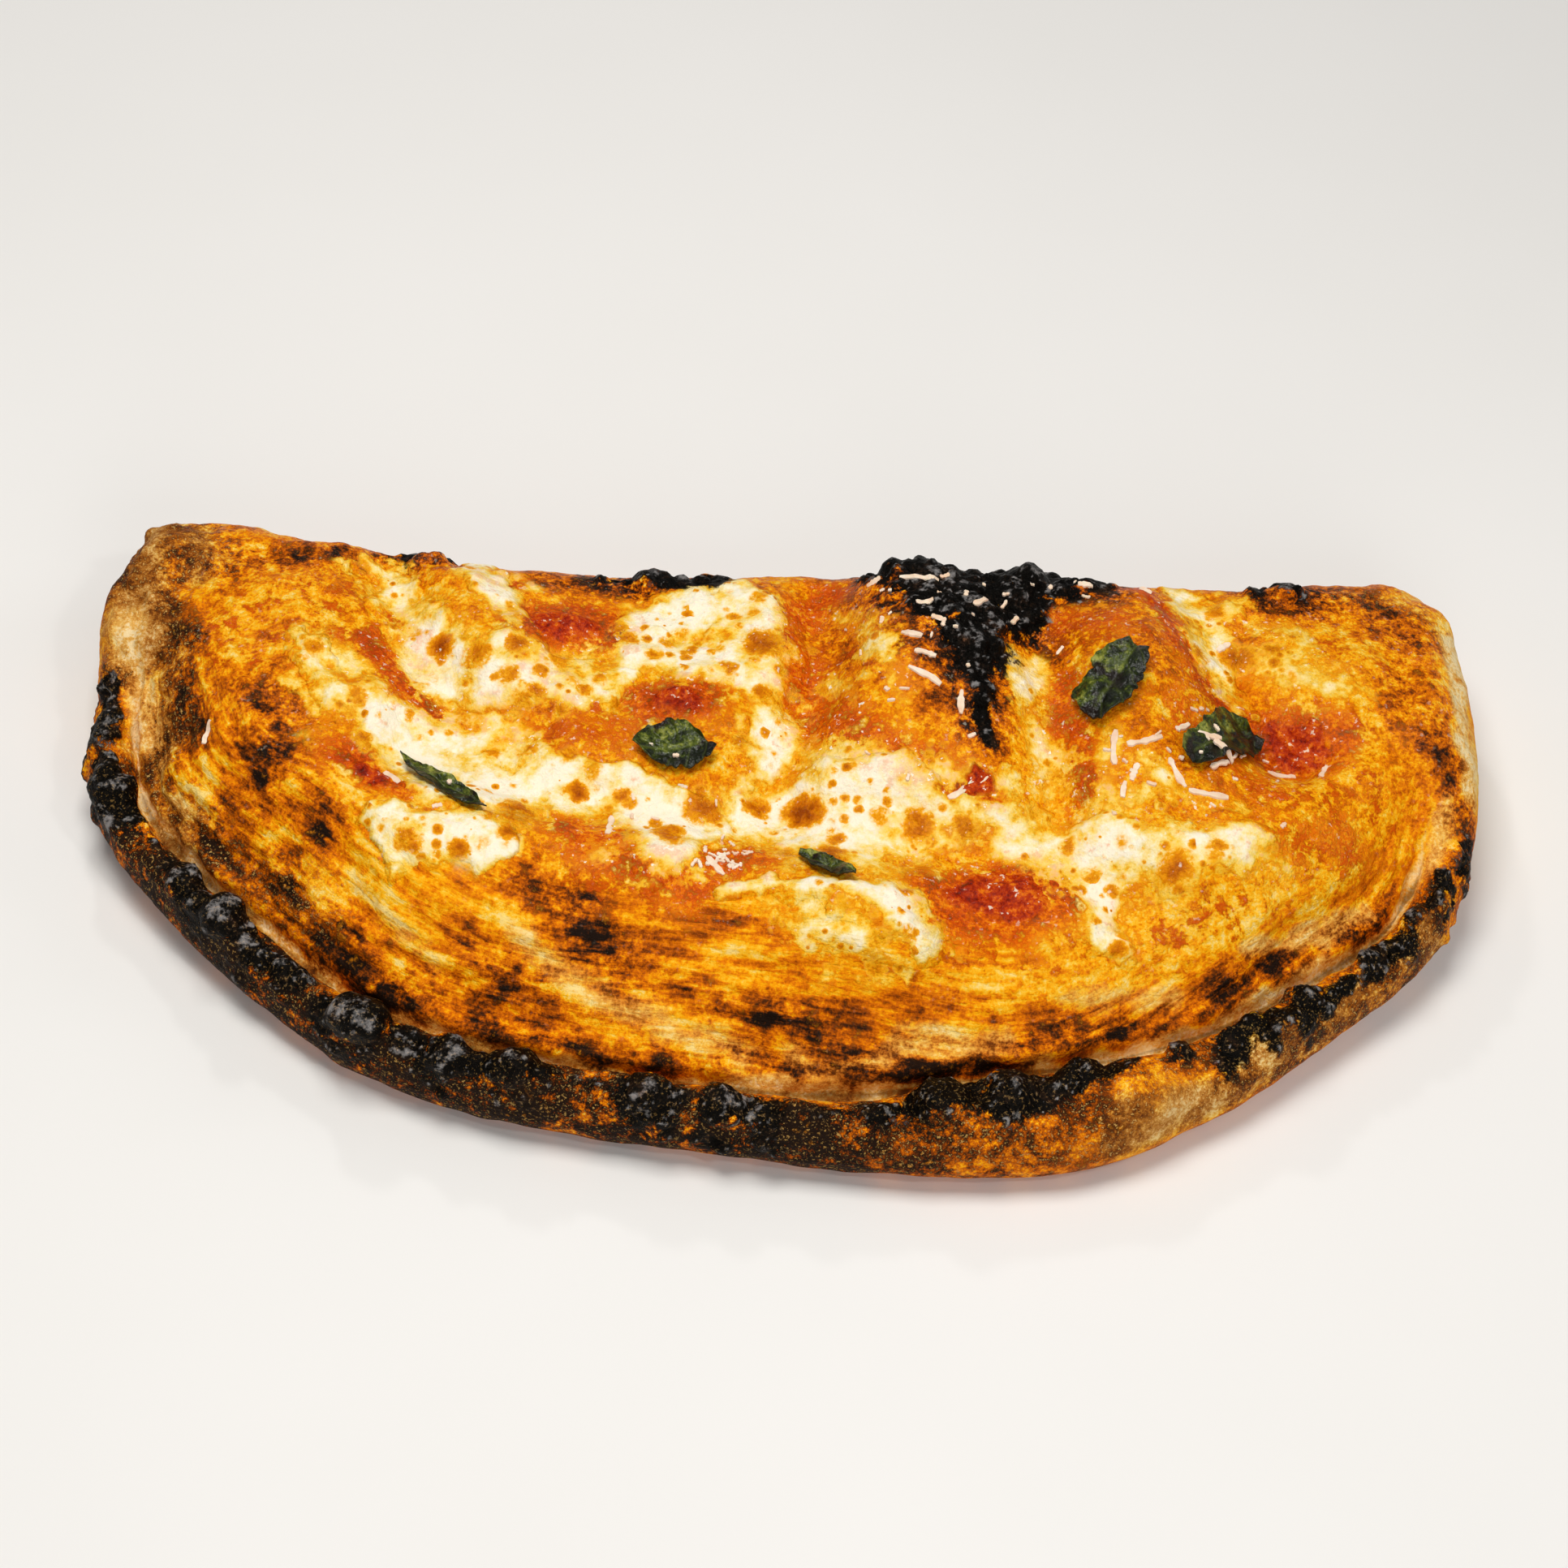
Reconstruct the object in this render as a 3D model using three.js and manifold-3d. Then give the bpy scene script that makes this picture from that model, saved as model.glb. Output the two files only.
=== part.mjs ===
// A baked calzone, in millimetres: +X along the straight fold, +Y from the pinched rim to the fold, +Z up.
// The dough is one solid lofted from the half-moon outline. Its section has a rounded underside, a raised
// rim with a crease behind it, and a top that swells over the filling, with domes and valleys added to it.
// Char blisters and cheese shreds are fused to the dough. Melted mozzarella, tomato and basil are solids of
// their own that are draped on it with a small gap.
import * as THREE from "three";
import { mergeVertices } from "three/addons/utils/BufferGeometryUtils.js";
import Module from "manifold-3d";

const wasm = await Module();
wasm.setup();

// ---- driving dimensions ----
const HALF_STATIONS = 55; // sections round each half of the outline, the fold's and the rim's
const CROWN_RINGS = 11; // rings from the crease to the middle of the top
const SPINE_Y = 8; // the sections run from the outline to a spine along X at this Y
const SPINE_SHARE = 0.62; // length of the spine as a share of the whole length
const GAP = 0.3; // clearance between pieces that touch

const HALF_LENGTH = 158;
const CROWN_Z = 39.5; // height of the top before domes and valleys
const RIM = { equator: 9, under: 6, top: 19, width: 11, crease: 13, lip: 17, rise: 52, riseAtEnds: 27 };
// The rim ends further back at the left end than at the right, and fades into the fold over a length.
const RIM_END = { left: 40, right: 8, fade: 26 };
const RIM_WIDER = { x: 60, reach: 42, by: 10.5 }; // a stretch where the rim is wider
const FOLD = { equator: 19, under: 13, top: 38, inset: 20 };
const END_TAPER = { from: 90, to: 160, share: 0.2 }; // the two ends are this much thinner
const FOOT = { alongX: 0.56, alongY: 0.72 }; // flat underside as a share of the outline
const TIP_LIFT = { from: 88, to: 160, height: 8 }; // the two ends curl up from the surface below

// Half-moon seen from above, counterclockwise from the right end: fold side first, then the rim side.
const OUTLINE = [
  [157.5, 34], [156.5, 58], [153, 76], [141, 83], [104, 78], [60, 79], [15, 76], [-30, 73], [-65, 73],
  [-102, 76], [-130, 82], [-150, 82], [-158, 64], [-158.5, 34], [-156, 6], [-144.5, -13], [-122, -36],
  [-95, -57], [-62, -69.5], [-20, -75], [29, -79], [66, -75], [96, -59], [121, -39], [145, -16], [155, 9],
];

// Domes and dips of the top: centre, half-widths along and across a turned axis, height.
const DOMES = [
  { x: -124, y: 42, along: 24, across: 26, turn: 0, height: 2 },
  { x: -38, y: 40, along: 34, across: 30, turn: 0, height: -3 },
  { x: 30, y: 44, along: 25, across: 36, turn: 0, height: 11 },
  { x: 77, y: 40, along: 19, across: 31, turn: -8, height: 9 },
  { x: 128, y: 40, along: 30, across: 28, turn: 0, height: 1.5 },
  { x: 12, y: -34, along: 17, across: 10, turn: -12, height: 5.5 },
  { x: -53, y: 47, along: 10, across: 7, turn: 0, height: 2.5 },
  { x: -26, y: 27, along: 8, across: 6, turn: 0, height: 2.5 },
  { x: 112, y: 22, along: 11, across: 7, turn: 10, height: -3.5 },
  { x: 45, y: -26, along: 13, across: 6, turn: 5, height: -2 },
];

// Valleys (negative) and ridges (positive) that run along a line of points.
const FOLDS = [
  { width: 9, height: -6, line: [[-84, 8], [-55, -2], [-20, -8], [20, -10], [58, -12], [72, -22]] },
  { width: 8, height: -5.5, line: [[-94, 62], [-88, 40], [-76, 22], [-62, 14]] },
  { width: 7, height: 2.5, line: [[-80, 62], [-73, 46], [-64, 36]] },
  { width: 8, height: -7, line: [[4, 72], [7, 42], [0, 18], [-4, 0]] },
  { width: 7, height: -5.5, line: [[55, 44], [57, 22], [58, 0]] },
  { width: 8, height: -6.5, line: [[89, 74], [96, 48], [104, 28], [112, 20]] },
  { width: 13, height: 2.5, line: [[-84, -24], [-44, -34], [0, -44], [52, -40], [100, -18]] },
];

// Char blisters on the rim and along the fold: centre from above, and radius.
const BLISTERS = [
  { x: -153, y: 33, radius: 6 }, { x: -153, y: 21, radius: 6.5 }, { x: -150, y: 4, radius: 7.5 },
  { x: -132, y: -18, radius: 6.5 }, { x: -122, y: -29, radius: 7 }, { x: -91, y: -53, radius: 9.5 },
  { x: -74, y: -60, radius: 7 }, { x: -58, y: -63, radius: 7.5 }, { x: -28, y: -69, radius: 6.5 },
  { x: -12, y: -71, radius: 7.5 }, { x: 31, y: -67, radius: 9.5 }, { x: 48, y: -65, radius: 8 },
  { x: 63, y: -61, radius: 8 }, { x: 83, y: -50, radius: 5.5 }, { x: 98, y: -43, radius: 7.5 },
  { x: 112, y: -33, radius: 7 }, { x: 127, y: -22, radius: 7 }, { x: 137, y: -12, radius: 6 },
  { x: 149, y: 2, radius: 5.5 }, { x: -87, y: 67, radius: 5.5 }, { x: -34, y: 65.5, radius: 6.5 },
  { x: 27, y: 69, radius: 8 }, { x: 53, y: 67, radius: 7.5 }, { x: 113.5, y: 71, radius: 5.5 },
];
// A blister's half-sizes and how far its middle lies below the dough, as shares of its radius.
const BLISTER = { along: 1.25, across: 0.95, height: 0.85, sink: 0.5 };

// Melted mozzarella: each piece is a set of strands. A strand has a thickness, and a line of points that
// are [x, y, half-width].
const MOZZARELLA = {
  mozzarella_left: [
    { thick: 2.4, line: [[-112, 33, 4], [-101, 22, 6.5], [-91, 12, 9], [-78, 5, 11], [-62, 2, 11]] },
    { thick: 2.4, line: [[-72, 4, 11], [-58, 0, 9.5], [-47, -3, 7]] },
    { thick: 2, line: [[-56, -1, 7], [-42, -4, 6.5], [-29, -6, 7], [-18, -6, 5]] },
    { thick: 2.2, line: [[-31, -4, 7], [-30, -13, 11], [-27, -20, 7]] },
  ],
  mozzarella_middle: [
    { thick: 2.4, line: [[-8, -2, 8], [5, -5, 12], [21, -8, 11], [39, -12, 8], [53, -13, 9], [66, -13, 8]] },
    { thick: 2.2, line: [[10, 2, 6], [22, 1, 8.5], [34, -4, 6]] },
    { thick: 2.4, line: [[60, -12, 10], [69, -19, 10], [67, -31, 6]] },
    { thick: 2, line: [[66, -12, 8], [80, -9, 9.5], [91, -8, 8.5], [99, -10, 4.5]] },
  ],
  mozzarella_dome: [
    { thick: 2.2, line: [[-10, 62, 7], [-13, 49, 12], [-10, 34, 11], [-6, 20, 8], [-6, 10, 5]] },
    { thick: 2, line: [[-12, 44, 9], [-27, 40, 9], [-40, 37, 6.5]] },
  ],
  mozzarella_back: [
    { thick: 2.4, line: [[-98, 62, 4], [-88, 47, 6.5], [-80, 36, 6.5], [-75, 28, 6]] },
    { thick: 2.2, line: [[-82, 27, 5], [-66, 28, 9.5], [-53, 29, 9], [-41, 29, 5.5]] },
    { thick: 2, line: [[-73, 64, 5.5], [-68, 49, 7], [-62, 37, 7]] },
  ],
  mozzarella_corner: [
    { thick: 2, line: [[-92, -15, 4], [-84, -18, 7.5], [-74, -17, 7.5], [-63, -17.5, 4]] },
  ],
  mozzarella_fold: [
    { thick: 2.2, line: [[90, 67, 7], [93, 54, 7.5], [97, 42, 6], [102, 32, 4]] },
  ],
  mozzarella_front: [
    { thick: 2.2, line: [[-14, -27, 4], [-3, -26, 4.5], [9, -29, 5.5], [20, -32.5, 6], [28, -38, 4.5]] },
  ],
};

// Thick tomato: round patches given by centre, half-lengths along X and Y, turn in degrees, and thickness.
const TOMATO = {
  tomato_back: { x: -53, y: 47, along: 9, across: 5.5, turn: -10, thick: 1.6 },
  tomato_bright: { x: -26, y: 25, along: 7, across: 5, turn: -10, thick: 1.8 },
  tomato_front: { x: 45, y: -27, along: 12, across: 6.5, turn: 6, thick: 1.6 },
  tomato_right: { x: 114, y: 25, along: 8.5, across: 5.5, turn: -5, thick: 1.5 },
  tomato_left: { x: -93, y: -1, along: 6, across: 3.5, turn: -30, thick: 1.3 },
  tomato_centre: { x: 40, y: 3, along: 5, across: 3, turn: -8, thick: 1.3 },
};

// Torn basil: centre, length, width, turn in degrees, and how far its edges curl up.
const BASIL = {
  basil_left: { x: -77, y: -3.5, length: 22, width: 5, turn: -36, curl: 1 },
  basil_middle: { x: -27, y: 9.5, length: 15, width: 12, turn: 8, curl: 2 },
  basil_dome: { x: 70, y: 28, length: 21, width: 13, turn: 58, curl: 2.2 },
  basil_right: { x: 95, y: 18.5, length: 24, width: 11, turn: 42, curl: 2 },
  basil_front: { x: 7, y: -22, length: 15, width: 5, turn: -36, curl: 1 },
};
const BASIL_THICK = 0.5;

// Shreds of hard cheese on the dough, and those on basil_right: centre, length, and turn in degrees.
const SHRED = { width: 1.6, thick: 0.9 };
const SHREDS = [
  { x: 27, y: 57, length: 9, turn: -8 }, { x: 28, y: 48, length: 4, turn: 15 },
  { x: 41, y: 50, length: 5, turn: 50 }, { x: 25, y: 38, length: 5, turn: -25 },
  { x: 28, y: 32.5, length: 5, turn: -15 }, { x: 28, y: 27, length: 8.5, turn: -32 },
  { x: 36, y: 21, length: 6, turn: 88 }, { x: 31, y: 42, length: 3.5, turn: -20 },
  { x: 49, y: 49, length: 3, turn: 60 }, { x: 66, y: 63, length: 3.5, turn: 0 },
  { x: 17, y: 59, length: 3, turn: 20 }, { x: 38, y: 1, length: 10, turn: 30 },
  { x: 70, y: 12, length: 8, turn: 88 }, { x: 77, y: 14, length: 8.5, turn: 20 },
  { x: 84, y: 7, length: 8, turn: -65 }, { x: 72, y: 2, length: 4, turn: 80 },
  { x: 74.5, y: 6.5, length: 4.5, turn: 70 }, { x: 91, y: 2.5, length: 9, turn: -3 },
  { x: 86, y: 20, length: 4, turn: 35 }, { x: 110, y: 18, length: 7, turn: 12 },
  { x: 119, y: 17, length: 5, turn: 66 }, { x: 98, y: 51, length: 4, turn: 40 },
  { x: -40, y: -11, length: 7, turn: 84 }, { x: -17, y: -22, length: 6, turn: -50 },
  { x: -130, y: 12, length: 4, turn: 70 }, { x: -88, y: -2, length: 5, turn: -45 },
  { x: 80, y: 63, length: 3, turn: -25 },
];
const LEAF_SHREDS = [
  { x: 91, y: 17, length: 7, turn: -3 }, { x: 95, y: 14.5, length: 5.5, turn: -34 },
  { x: 94, y: 11, length: 5, turn: 32 },
];

// ---- small helpers ----
const clamp01 = (t) => Math.min(1, Math.max(0, t));
const lerp = (a, b, t) => a + (b - a) * t;
const smooth = (a, b, x) => {
  const t = clamp01((x - a) / (b - a));
  return t * t * (3 - 2 * t);
};
const radians = THREE.MathUtils.degToRad;

// Distance from a point to a line of points.
function distanceTo(line, x, y) {
  let nearest = Infinity;
  for (let i = 0; i + 1 < line.length; i++) {
    const [ax, ay] = line[i];
    const [bx, by] = line[i + 1];
    const along = ((x - ax) * (bx - ax) + (y - ay) * (by - ay)) / ((bx - ax) ** 2 + (by - ay) ** 2);
    const t = clamp01(along);
    nearest = Math.min(nearest, Math.hypot(x - lerp(ax, bx, t), y - lerp(ay, by, t)));
  }
  return nearest;
}

// Coordinates of a point in an ellipse's own turned frame, 1 at its edge.
function inEllipse(shape, x, y) {
  const turn = radians(shape.turn);
  const dx = x - shape.x;
  const dy = y - shape.y;
  const u = (dx * Math.cos(turn) + dy * Math.sin(turn)) / shape.along;
  const v = (dy * Math.cos(turn) - dx * Math.sin(turn)) / shape.across;
  return [u, v];
}

// A closed mesh from positions and triangles, as a manifold solid.
function solidFrom(positions, triangles) {
  const mesh = new wasm.Mesh({
    numProp: 3,
    vertProperties: Float32Array.from(positions),
    triVerts: Uint32Array.from(triangles),
  });
  return new wasm.Manifold(mesh);
}

// A three.js geometry with shared vertices merged, as a manifold solid.
function solidOf(geometry) {
  const bare = new THREE.BufferGeometry().setAttribute("position", geometry.getAttribute("position"));
  if (geometry.index) bare.setIndex(geometry.index);
  const merged = mergeVertices(bare, 1e-4);
  return solidFrom(merged.attributes.position.array, merged.index.array);
}

// The largest body of a solid, without the scraps a cut may leave.
function largest(solid) {
  return solid.decompose().reduce((best, body) => (body.volume() > best.volume() ? body : best));
}

function geometryOf(solid) {
  const { vertProperties, triVerts } = solid.getMesh();
  const geometry = new THREE.BufferGeometry();
  geometry.setAttribute("position", new THREE.BufferAttribute(Float32Array.from(vertProperties), 3));
  geometry.setIndex(new THREE.BufferAttribute(Uint32Array.from(triVerts), 1));
  geometry.computeVertexNormals();
  return geometry;
}

// ---- the dough ----
const endTaper = (x) => 1 - END_TAPER.share * smooth(END_TAPER.from, END_TAPER.to, Math.abs(x));
const tipLift = (x) => {
  const t = clamp01((Math.abs(x) - TIP_LIFT.from) / (TIP_LIFT.to - TIP_LIFT.from));
  return TIP_LIFT.height * t * t;
};

// Domes, dips, valleys and ridges of the top, as a height added to the crown.
function relief(x, y) {
  let z = 0;
  for (const dome of DOMES) {
    const [u, v] = inEllipse(dome, x, y);
    z += dome.height * Math.exp(-(u * u + v * v));
  }
  for (const fold of FOLDS) z += fold.height * Math.exp(-((distanceTo(fold.line, x, y) / fold.width) ** 2));
  return z;
}

// One station of the outline: its point, how much of a rim it has, and how wide that is.
function stationAt({ x, y }) {
  const rimEnd = lerp(RIM_END.left, RIM_END.right, (x + HALF_LENGTH) / (2 * HALF_LENGTH));
  const rimShare = 1 - smooth(rimEnd - RIM_END.fade, rimEnd + RIM_END.fade, y);
  const wider = RIM_WIDER.by * Math.exp(-(((x - RIM_WIDER.x) / RIM_WIDER.reach) ** 2)) * (y < 0 ? 1 : 0);
  return { x, y, rimShare, rimWidth: RIM.width + wider };
}

// Stations at equal steps along one half of the outline curve, from its parameter start to end.
function halfOutline(curve, start, end) {
  const dense = 600; // fine steps that the equal ones are measured with
  const points = Array.from({ length: dense + 1 }, (_, i) => curve.getPoint(lerp(start, end, i / dense)));
  const run = [0];
  for (let i = 1; i <= dense; i++) run.push(run[i - 1] + points[i].distanceTo(points[i - 1]));
  return Array.from({ length: HALF_STATIONS }, (_, k) => {
    const goal = (run[dense] * k) / HALF_STATIONS;
    return stationAt(points[run.findIndex((length) => length >= goal)]);
  });
}

// All stations counterclockwise. A station and its partner on the other half share a point of the spine.
function makeStations() {
  const points = OUTLINE.map(([x, y]) => new THREE.Vector3(x, y, 0));
  const curve = new THREE.CatmullRomCurve3(points, true, "centripetal");
  const stations = [...halfOutline(curve, 0, 0.5), ...halfOutline(curve, 0.5, 1)];
  const count = stations.length;
  return stations.map((station, i) => {
    const partner = stations[(count - i) % count];
    return { ...station, spineX: (SPINE_SHARE * (station.x + partner.x)) / 2 };
  });
}

// The section's outer part, from the underside to the crease's lip: [distance in from the outline, height].
function edgeProfile(station) {
  const wave = 1 + 0.07 * Math.sin(station.x / 5.5) + 0.05 * Math.sin(station.x / 2.9 + 1);
  const width = station.rimWidth;
  const rim = [
    [RIM.under, 0],
    [RIM.under * 0.4, RIM.equator * 0.3],
    [RIM.under * 0.08, RIM.equator * 0.7],
    [0, RIM.equator],
    [width * 0.07, lerp(RIM.equator, RIM.top, 0.55)],
    [width * 0.25, lerp(RIM.equator, RIM.top, 0.9) * wave],
    [width * 0.5, RIM.top * wave],
    [width * 0.8, RIM.top * 0.9],
    [width, RIM.crease],
    [width + 2.5, RIM.lip],
  ];
  const fold = [
    [FOLD.under, 0],
    [FOLD.under * 0.4, FOLD.equator * 0.2],
    [FOLD.under * 0.08, FOLD.equator * 0.6],
    [0, FOLD.equator],
    [FOLD.inset * 0.06, lerp(FOLD.equator, FOLD.top, 0.4)],
    [FOLD.inset * 0.2, lerp(FOLD.equator, FOLD.top, 0.68)],
    [FOLD.inset * 0.4, lerp(FOLD.equator, FOLD.top, 0.86)],
    [FOLD.inset * 0.65, lerp(FOLD.equator, FOLD.top, 0.97)],
    [FOLD.inset * 0.85, FOLD.top],
    [FOLD.inset, FOLD.top],
  ];
  const share = station.rimShare;
  return rim.map(([d, z], k) => [lerp(fold[k][0], d, share), lerp(fold[k][1], z, share)]);
}

// Height of the crown before its relief, a distance in from the lip.
function crownHeight(station, inFromLip) {
  const rise = lerp(RIM.rise, RIM.riseAtEnds, smooth(70, 140, Math.abs(station.x)));
  const slope = RIM.lip + (CROWN_Z - RIM.lip) * Math.sin((Math.PI / 2) * clamp01(inFromLip / rise));
  const shoulder = lerp(FOLD.top, CROWN_Z, smooth(0, 20, inFromLip));
  return lerp(shoulder, slope, station.rimShare);
}

// A point of a station's section: a share of the way from the outline to the spine, and a height.
function sectionPoint(station, inward, height) {
  const length = Math.hypot(station.x - station.spineX, station.y - SPINE_Y);
  const share = Math.min(1, inward / length);
  const x = lerp(station.x, station.spineX, share);
  const y = lerp(station.y, SPINE_Y, share);
  const shown = smooth(5, lerp(16, 26, station.rimShare), inward) * smooth(0, FOLD.equator, height);
  return [x, y, height * endTaper(x) + tipLift(x) + relief(x, y) * shown];
}

function doughBody() {
  const stations = makeStations();
  const count = stations.length;
  const positions = [];
  let rings = 0;
  const addRing = (pointAt) => {
    stations.forEach((station) => positions.push(...pointAt(station)));
    rings += 1;
  };
  addRing((s) => [s.x * FOOT.alongX, SPINE_Y + (s.y - SPINE_Y) * FOOT.alongY, 0]);
  const edges = edgeProfile(stations[0]).length;
  for (let k = 0; k < edges; k++) addRing((s) => sectionPoint(s, ...edgeProfile(s)[k]));
  for (let k = 1; k <= CROWN_RINGS; k++) {
    addRing((s) => {
      const lip = edgeProfile(s)[edges - 1][0];
      const length = Math.hypot(s.x - s.spineX, s.y - SPINE_Y);
      const inward = lerp(lip, length, k / CROWN_RINGS);
      return sectionPoint(s, inward, crownHeight(s, inward - lip));
    });
  }

  // The last ring lies on the spine, where each station meets its partner.
  const last = rings - 1;
  const vertex = (ring, i) => ring * count + (ring === last ? Math.min(i, (count - i) % count || i) : i);
  const triangles = [];
  const triangle = (a, b, c) => {
    if (a !== b && b !== c && c !== a) triangles.push(a, b, c);
  };
  const drop = (a, b) => Math.abs(positions[a * 3 + 2] - positions[b * 3 + 2]);
  for (let k = 0; k < last; k++) {
    for (let i = 0; i < count; i++) {
      const next = (i + 1) % count;
      const [a, b, c, d] = [vertex(k, i), vertex(k, next), vertex(k + 1, next), vertex(k + 1, i)];
      // Each four-sided face is split along its more level diagonal, so that valleys stay smooth.
      if (drop(a, c) <= drop(b, d) || k + 1 === last) {
        triangle(a, b, c);
        triangle(a, c, d);
      } else {
        triangle(a, b, d);
        triangle(b, c, d);
      }
    }
  }
  // The first ring is closed by the flat foot.
  const foot = stations.map((_, i) => new THREE.Vector2(positions[i * 3], positions[i * 3 + 1]));
  for (const [a, b, c] of THREE.ShapeUtils.triangulateShape(foot, [])) triangle(a, c, b);
  return solidFrom(positions, triangles);
}

// ---- finding the surface of a solid from above ----
function surfaceOf(...solids) {
  const meshes = solids.map((solid) => new THREE.Mesh(geometryOf(solid)));
  const down = new THREE.Vector3(0, 0, -1);
  return (x, y) => {
    const ray = new THREE.Raycaster(new THREE.Vector3(x, y, 100), down);
    const hit = ray.intersectObjects(meshes)[0];
    if (!hit) throw new Error(`nothing lies under ${x}, ${y}`);
    return { z: hit.point.z, normal: hit.face.normal };
  };
}

// ---- pieces fused to the dough ----
// A low dome, longer along the rim than across it, and turned with the rim.
function blister(surface, { x, y, radius }) {
  const { z } = surface(x, y);
  const dome = new THREE.SphereGeometry(radius, 8, 6);
  dome.rotateX(Math.PI / 2);
  dome.scale(BLISTER.across, BLISTER.along, BLISTER.height);
  dome.rotateZ(Math.atan2(y - SPINE_Y, x * (1 - SPINE_SHARE)));
  dome.translate(x, y, z - radius * BLISTER.sink);
  return solidOf(dome);
}

function shred(surface, { x, y, length, turn }) {
  const strip = new THREE.BoxGeometry(length, SHRED.width, SHRED.thick);
  strip.rotateZ(radians(turn));
  const { z, normal } = surface(x, y);
  const tilt = new THREE.Quaternion().setFromUnitVectors(new THREE.Vector3(0, 0, 1), normal);
  strip.applyQuaternion(tilt);
  strip.translate(x, y, z + SHRED.thick * 0.25);
  return solidOf(strip);
}

// ---- draped pieces ----
const STRAND_STEP = 8; // spacing of a strand's sections
const STRAND_ACROSS = [-1, -0.7, 0, 0.7, 1]; // places across a strand, 1 at its edge
const DRAPE_DEPTH = 2.5; // how far a draped piece starts below the surface, before it is cut to it
const DRAPE_EDGE = 0.9; // how far its edges stand above the surface

// A closed solid from sections, each a list of [x, y, z top, z bottom] across the piece.
function drapedSolid(sections) {
  const across = sections[0].length;
  const top = (section) => section.map(([x, y, z]) => [x, y, z]);
  const bottom = (section) => section.map(([x, y, , z]) => [x, y, z]);
  const positions = sections.flatMap((section) => [...top(section), ...bottom(section)]);
  const triangles = [];
  const quad = (a, b, c, d) => triangles.push(a, b, c, a, c, d);
  const at = (s, side, j) => (s * 2 + side) * across + j;
  for (let s = 0; s + 1 < sections.length; s++) {
    for (let j = 0; j + 1 < across; j++) {
      quad(at(s, 0, j), at(s + 1, 0, j), at(s + 1, 0, j + 1), at(s, 0, j + 1));
      quad(at(s, 1, j), at(s, 1, j + 1), at(s + 1, 1, j + 1), at(s + 1, 1, j));
    }
    const edge = across - 1;
    quad(at(s, 0, 0), at(s, 1, 0), at(s + 1, 1, 0), at(s + 1, 0, 0));
    quad(at(s, 0, edge), at(s + 1, 0, edge), at(s + 1, 1, edge), at(s, 1, edge));
  }
  const end = sections.length - 1;
  for (let j = 0; j + 1 < across; j++) {
    quad(at(0, 0, j), at(0, 0, j + 1), at(0, 1, j + 1), at(0, 1, j));
    quad(at(end, 0, j), at(end, 1, j), at(end, 1, j + 1), at(end, 0, j + 1));
  }
  return solidFrom(positions.flat(), triangles);
}

// A strand of melted cheese along its line, thickest in the middle. grow widens it, for a clearance cut.
function strand(surface, { line, thick }, grow) {
  const centre = new THREE.CatmullRomCurve3(line.map(([x, y, half]) => new THREE.Vector3(x, y, half)));
  const steps = Math.max(2, Math.round(centre.getLength() / STRAND_STEP));
  const sections = [];
  for (let k = 0; k <= steps; k++) {
    const t = k / steps;
    const { x, y, z: half } = centre.getPoint(t);
    const way = centre.getTangent(t).setZ(0).normalize();
    const rounded = Math.sqrt(Math.max(0, 1 - (2 * t - 1) ** 6)); // narrows the strand at its two ends
    const width = (half + grow) * Math.max(0.45, rounded);
    sections.push(
      STRAND_ACROSS.map((u) => {
        const px = x - way.y * u * width;
        const py = y + way.x * u * width;
        const { z } = surface(px, py);
        const bulge = (thick - DRAPE_EDGE) * Math.sqrt(1 - u * u) * rounded;
        return [px, py, z + grow + DRAPE_EDGE + bulge, z - DRAPE_DEPTH];
      }),
    );
  }
  return drapedSolid(sections);
}

// A round patch, thickest in the middle, as parallel sections of an ellipse.
function patch(surface, shape) {
  const turn = radians(shape.turn);
  const sections = [];
  const steps = 6;
  for (let k = 0; k <= steps; k++) {
    const u = -Math.cos((Math.PI * (k + 0.6)) / (steps + 1.2));
    const chord = Math.sqrt(1 - u * u);
    sections.push(
      STRAND_ACROSS.map((share) => {
        const ragged = 1 + 0.12 * Math.sin(5 * u + 3 * share + shape.x);
        const along = shape.along * u;
        const across = shape.across * chord * share * ragged;
        const px = shape.x + along * Math.cos(turn) - across * Math.sin(turn);
        const py = shape.y + along * Math.sin(turn) + across * Math.cos(turn);
        const bulge = (shape.thick - DRAPE_EDGE) * chord * Math.sqrt(1 - share * share);
        const { z } = surface(px, py);
        return [px, py, z + DRAPE_EDGE + bulge, z - DRAPE_DEPTH];
      }),
    );
  }
  return drapedSolid(sections);
}

// A torn leaf: pointed at both ends, wavy, and thin, with both faces split alike.
function leaf(surface, shape) {
  const turn = radians(shape.turn);
  const sections = [];
  const steps = 8;
  for (let k = 0; k <= steps; k++) {
    const u = (2 * k) / steps - 1;
    const ragged = 1 + 0.16 * Math.sin(7 * u + shape.x);
    const half = (shape.width / 2) * Math.max(0.3, Math.sqrt(1 - u ** 4)) * ragged;
    sections.push(
      [-1, -0.5, 0, 0.5, 1].map((share) => {
        const along = (shape.length / 2) * u;
        const px = shape.x + along * Math.cos(turn) - half * share * Math.sin(turn);
        const py = shape.y + along * Math.sin(turn) + half * share * Math.cos(turn);
        const lift = 0.7 + shape.curl * (0.45 * share * share + 0.25 * (1 + Math.sin(4 * u + 2 * share)));
        const z = surface(px, py).z + lift;
        return [px, py, z + BASIL_THICK, z];
      }),
    );
  }
  return drapedSolid(sections);
}

// ---- assembly ----
const unionOf = (solids) => solids.reduce((sum, solid) => sum.add(solid));
// A solid grown upwards by the gap, to cut what lies on it.
const raised = (solid) => solid.add(solid.translate(0, 0, GAP));

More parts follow.
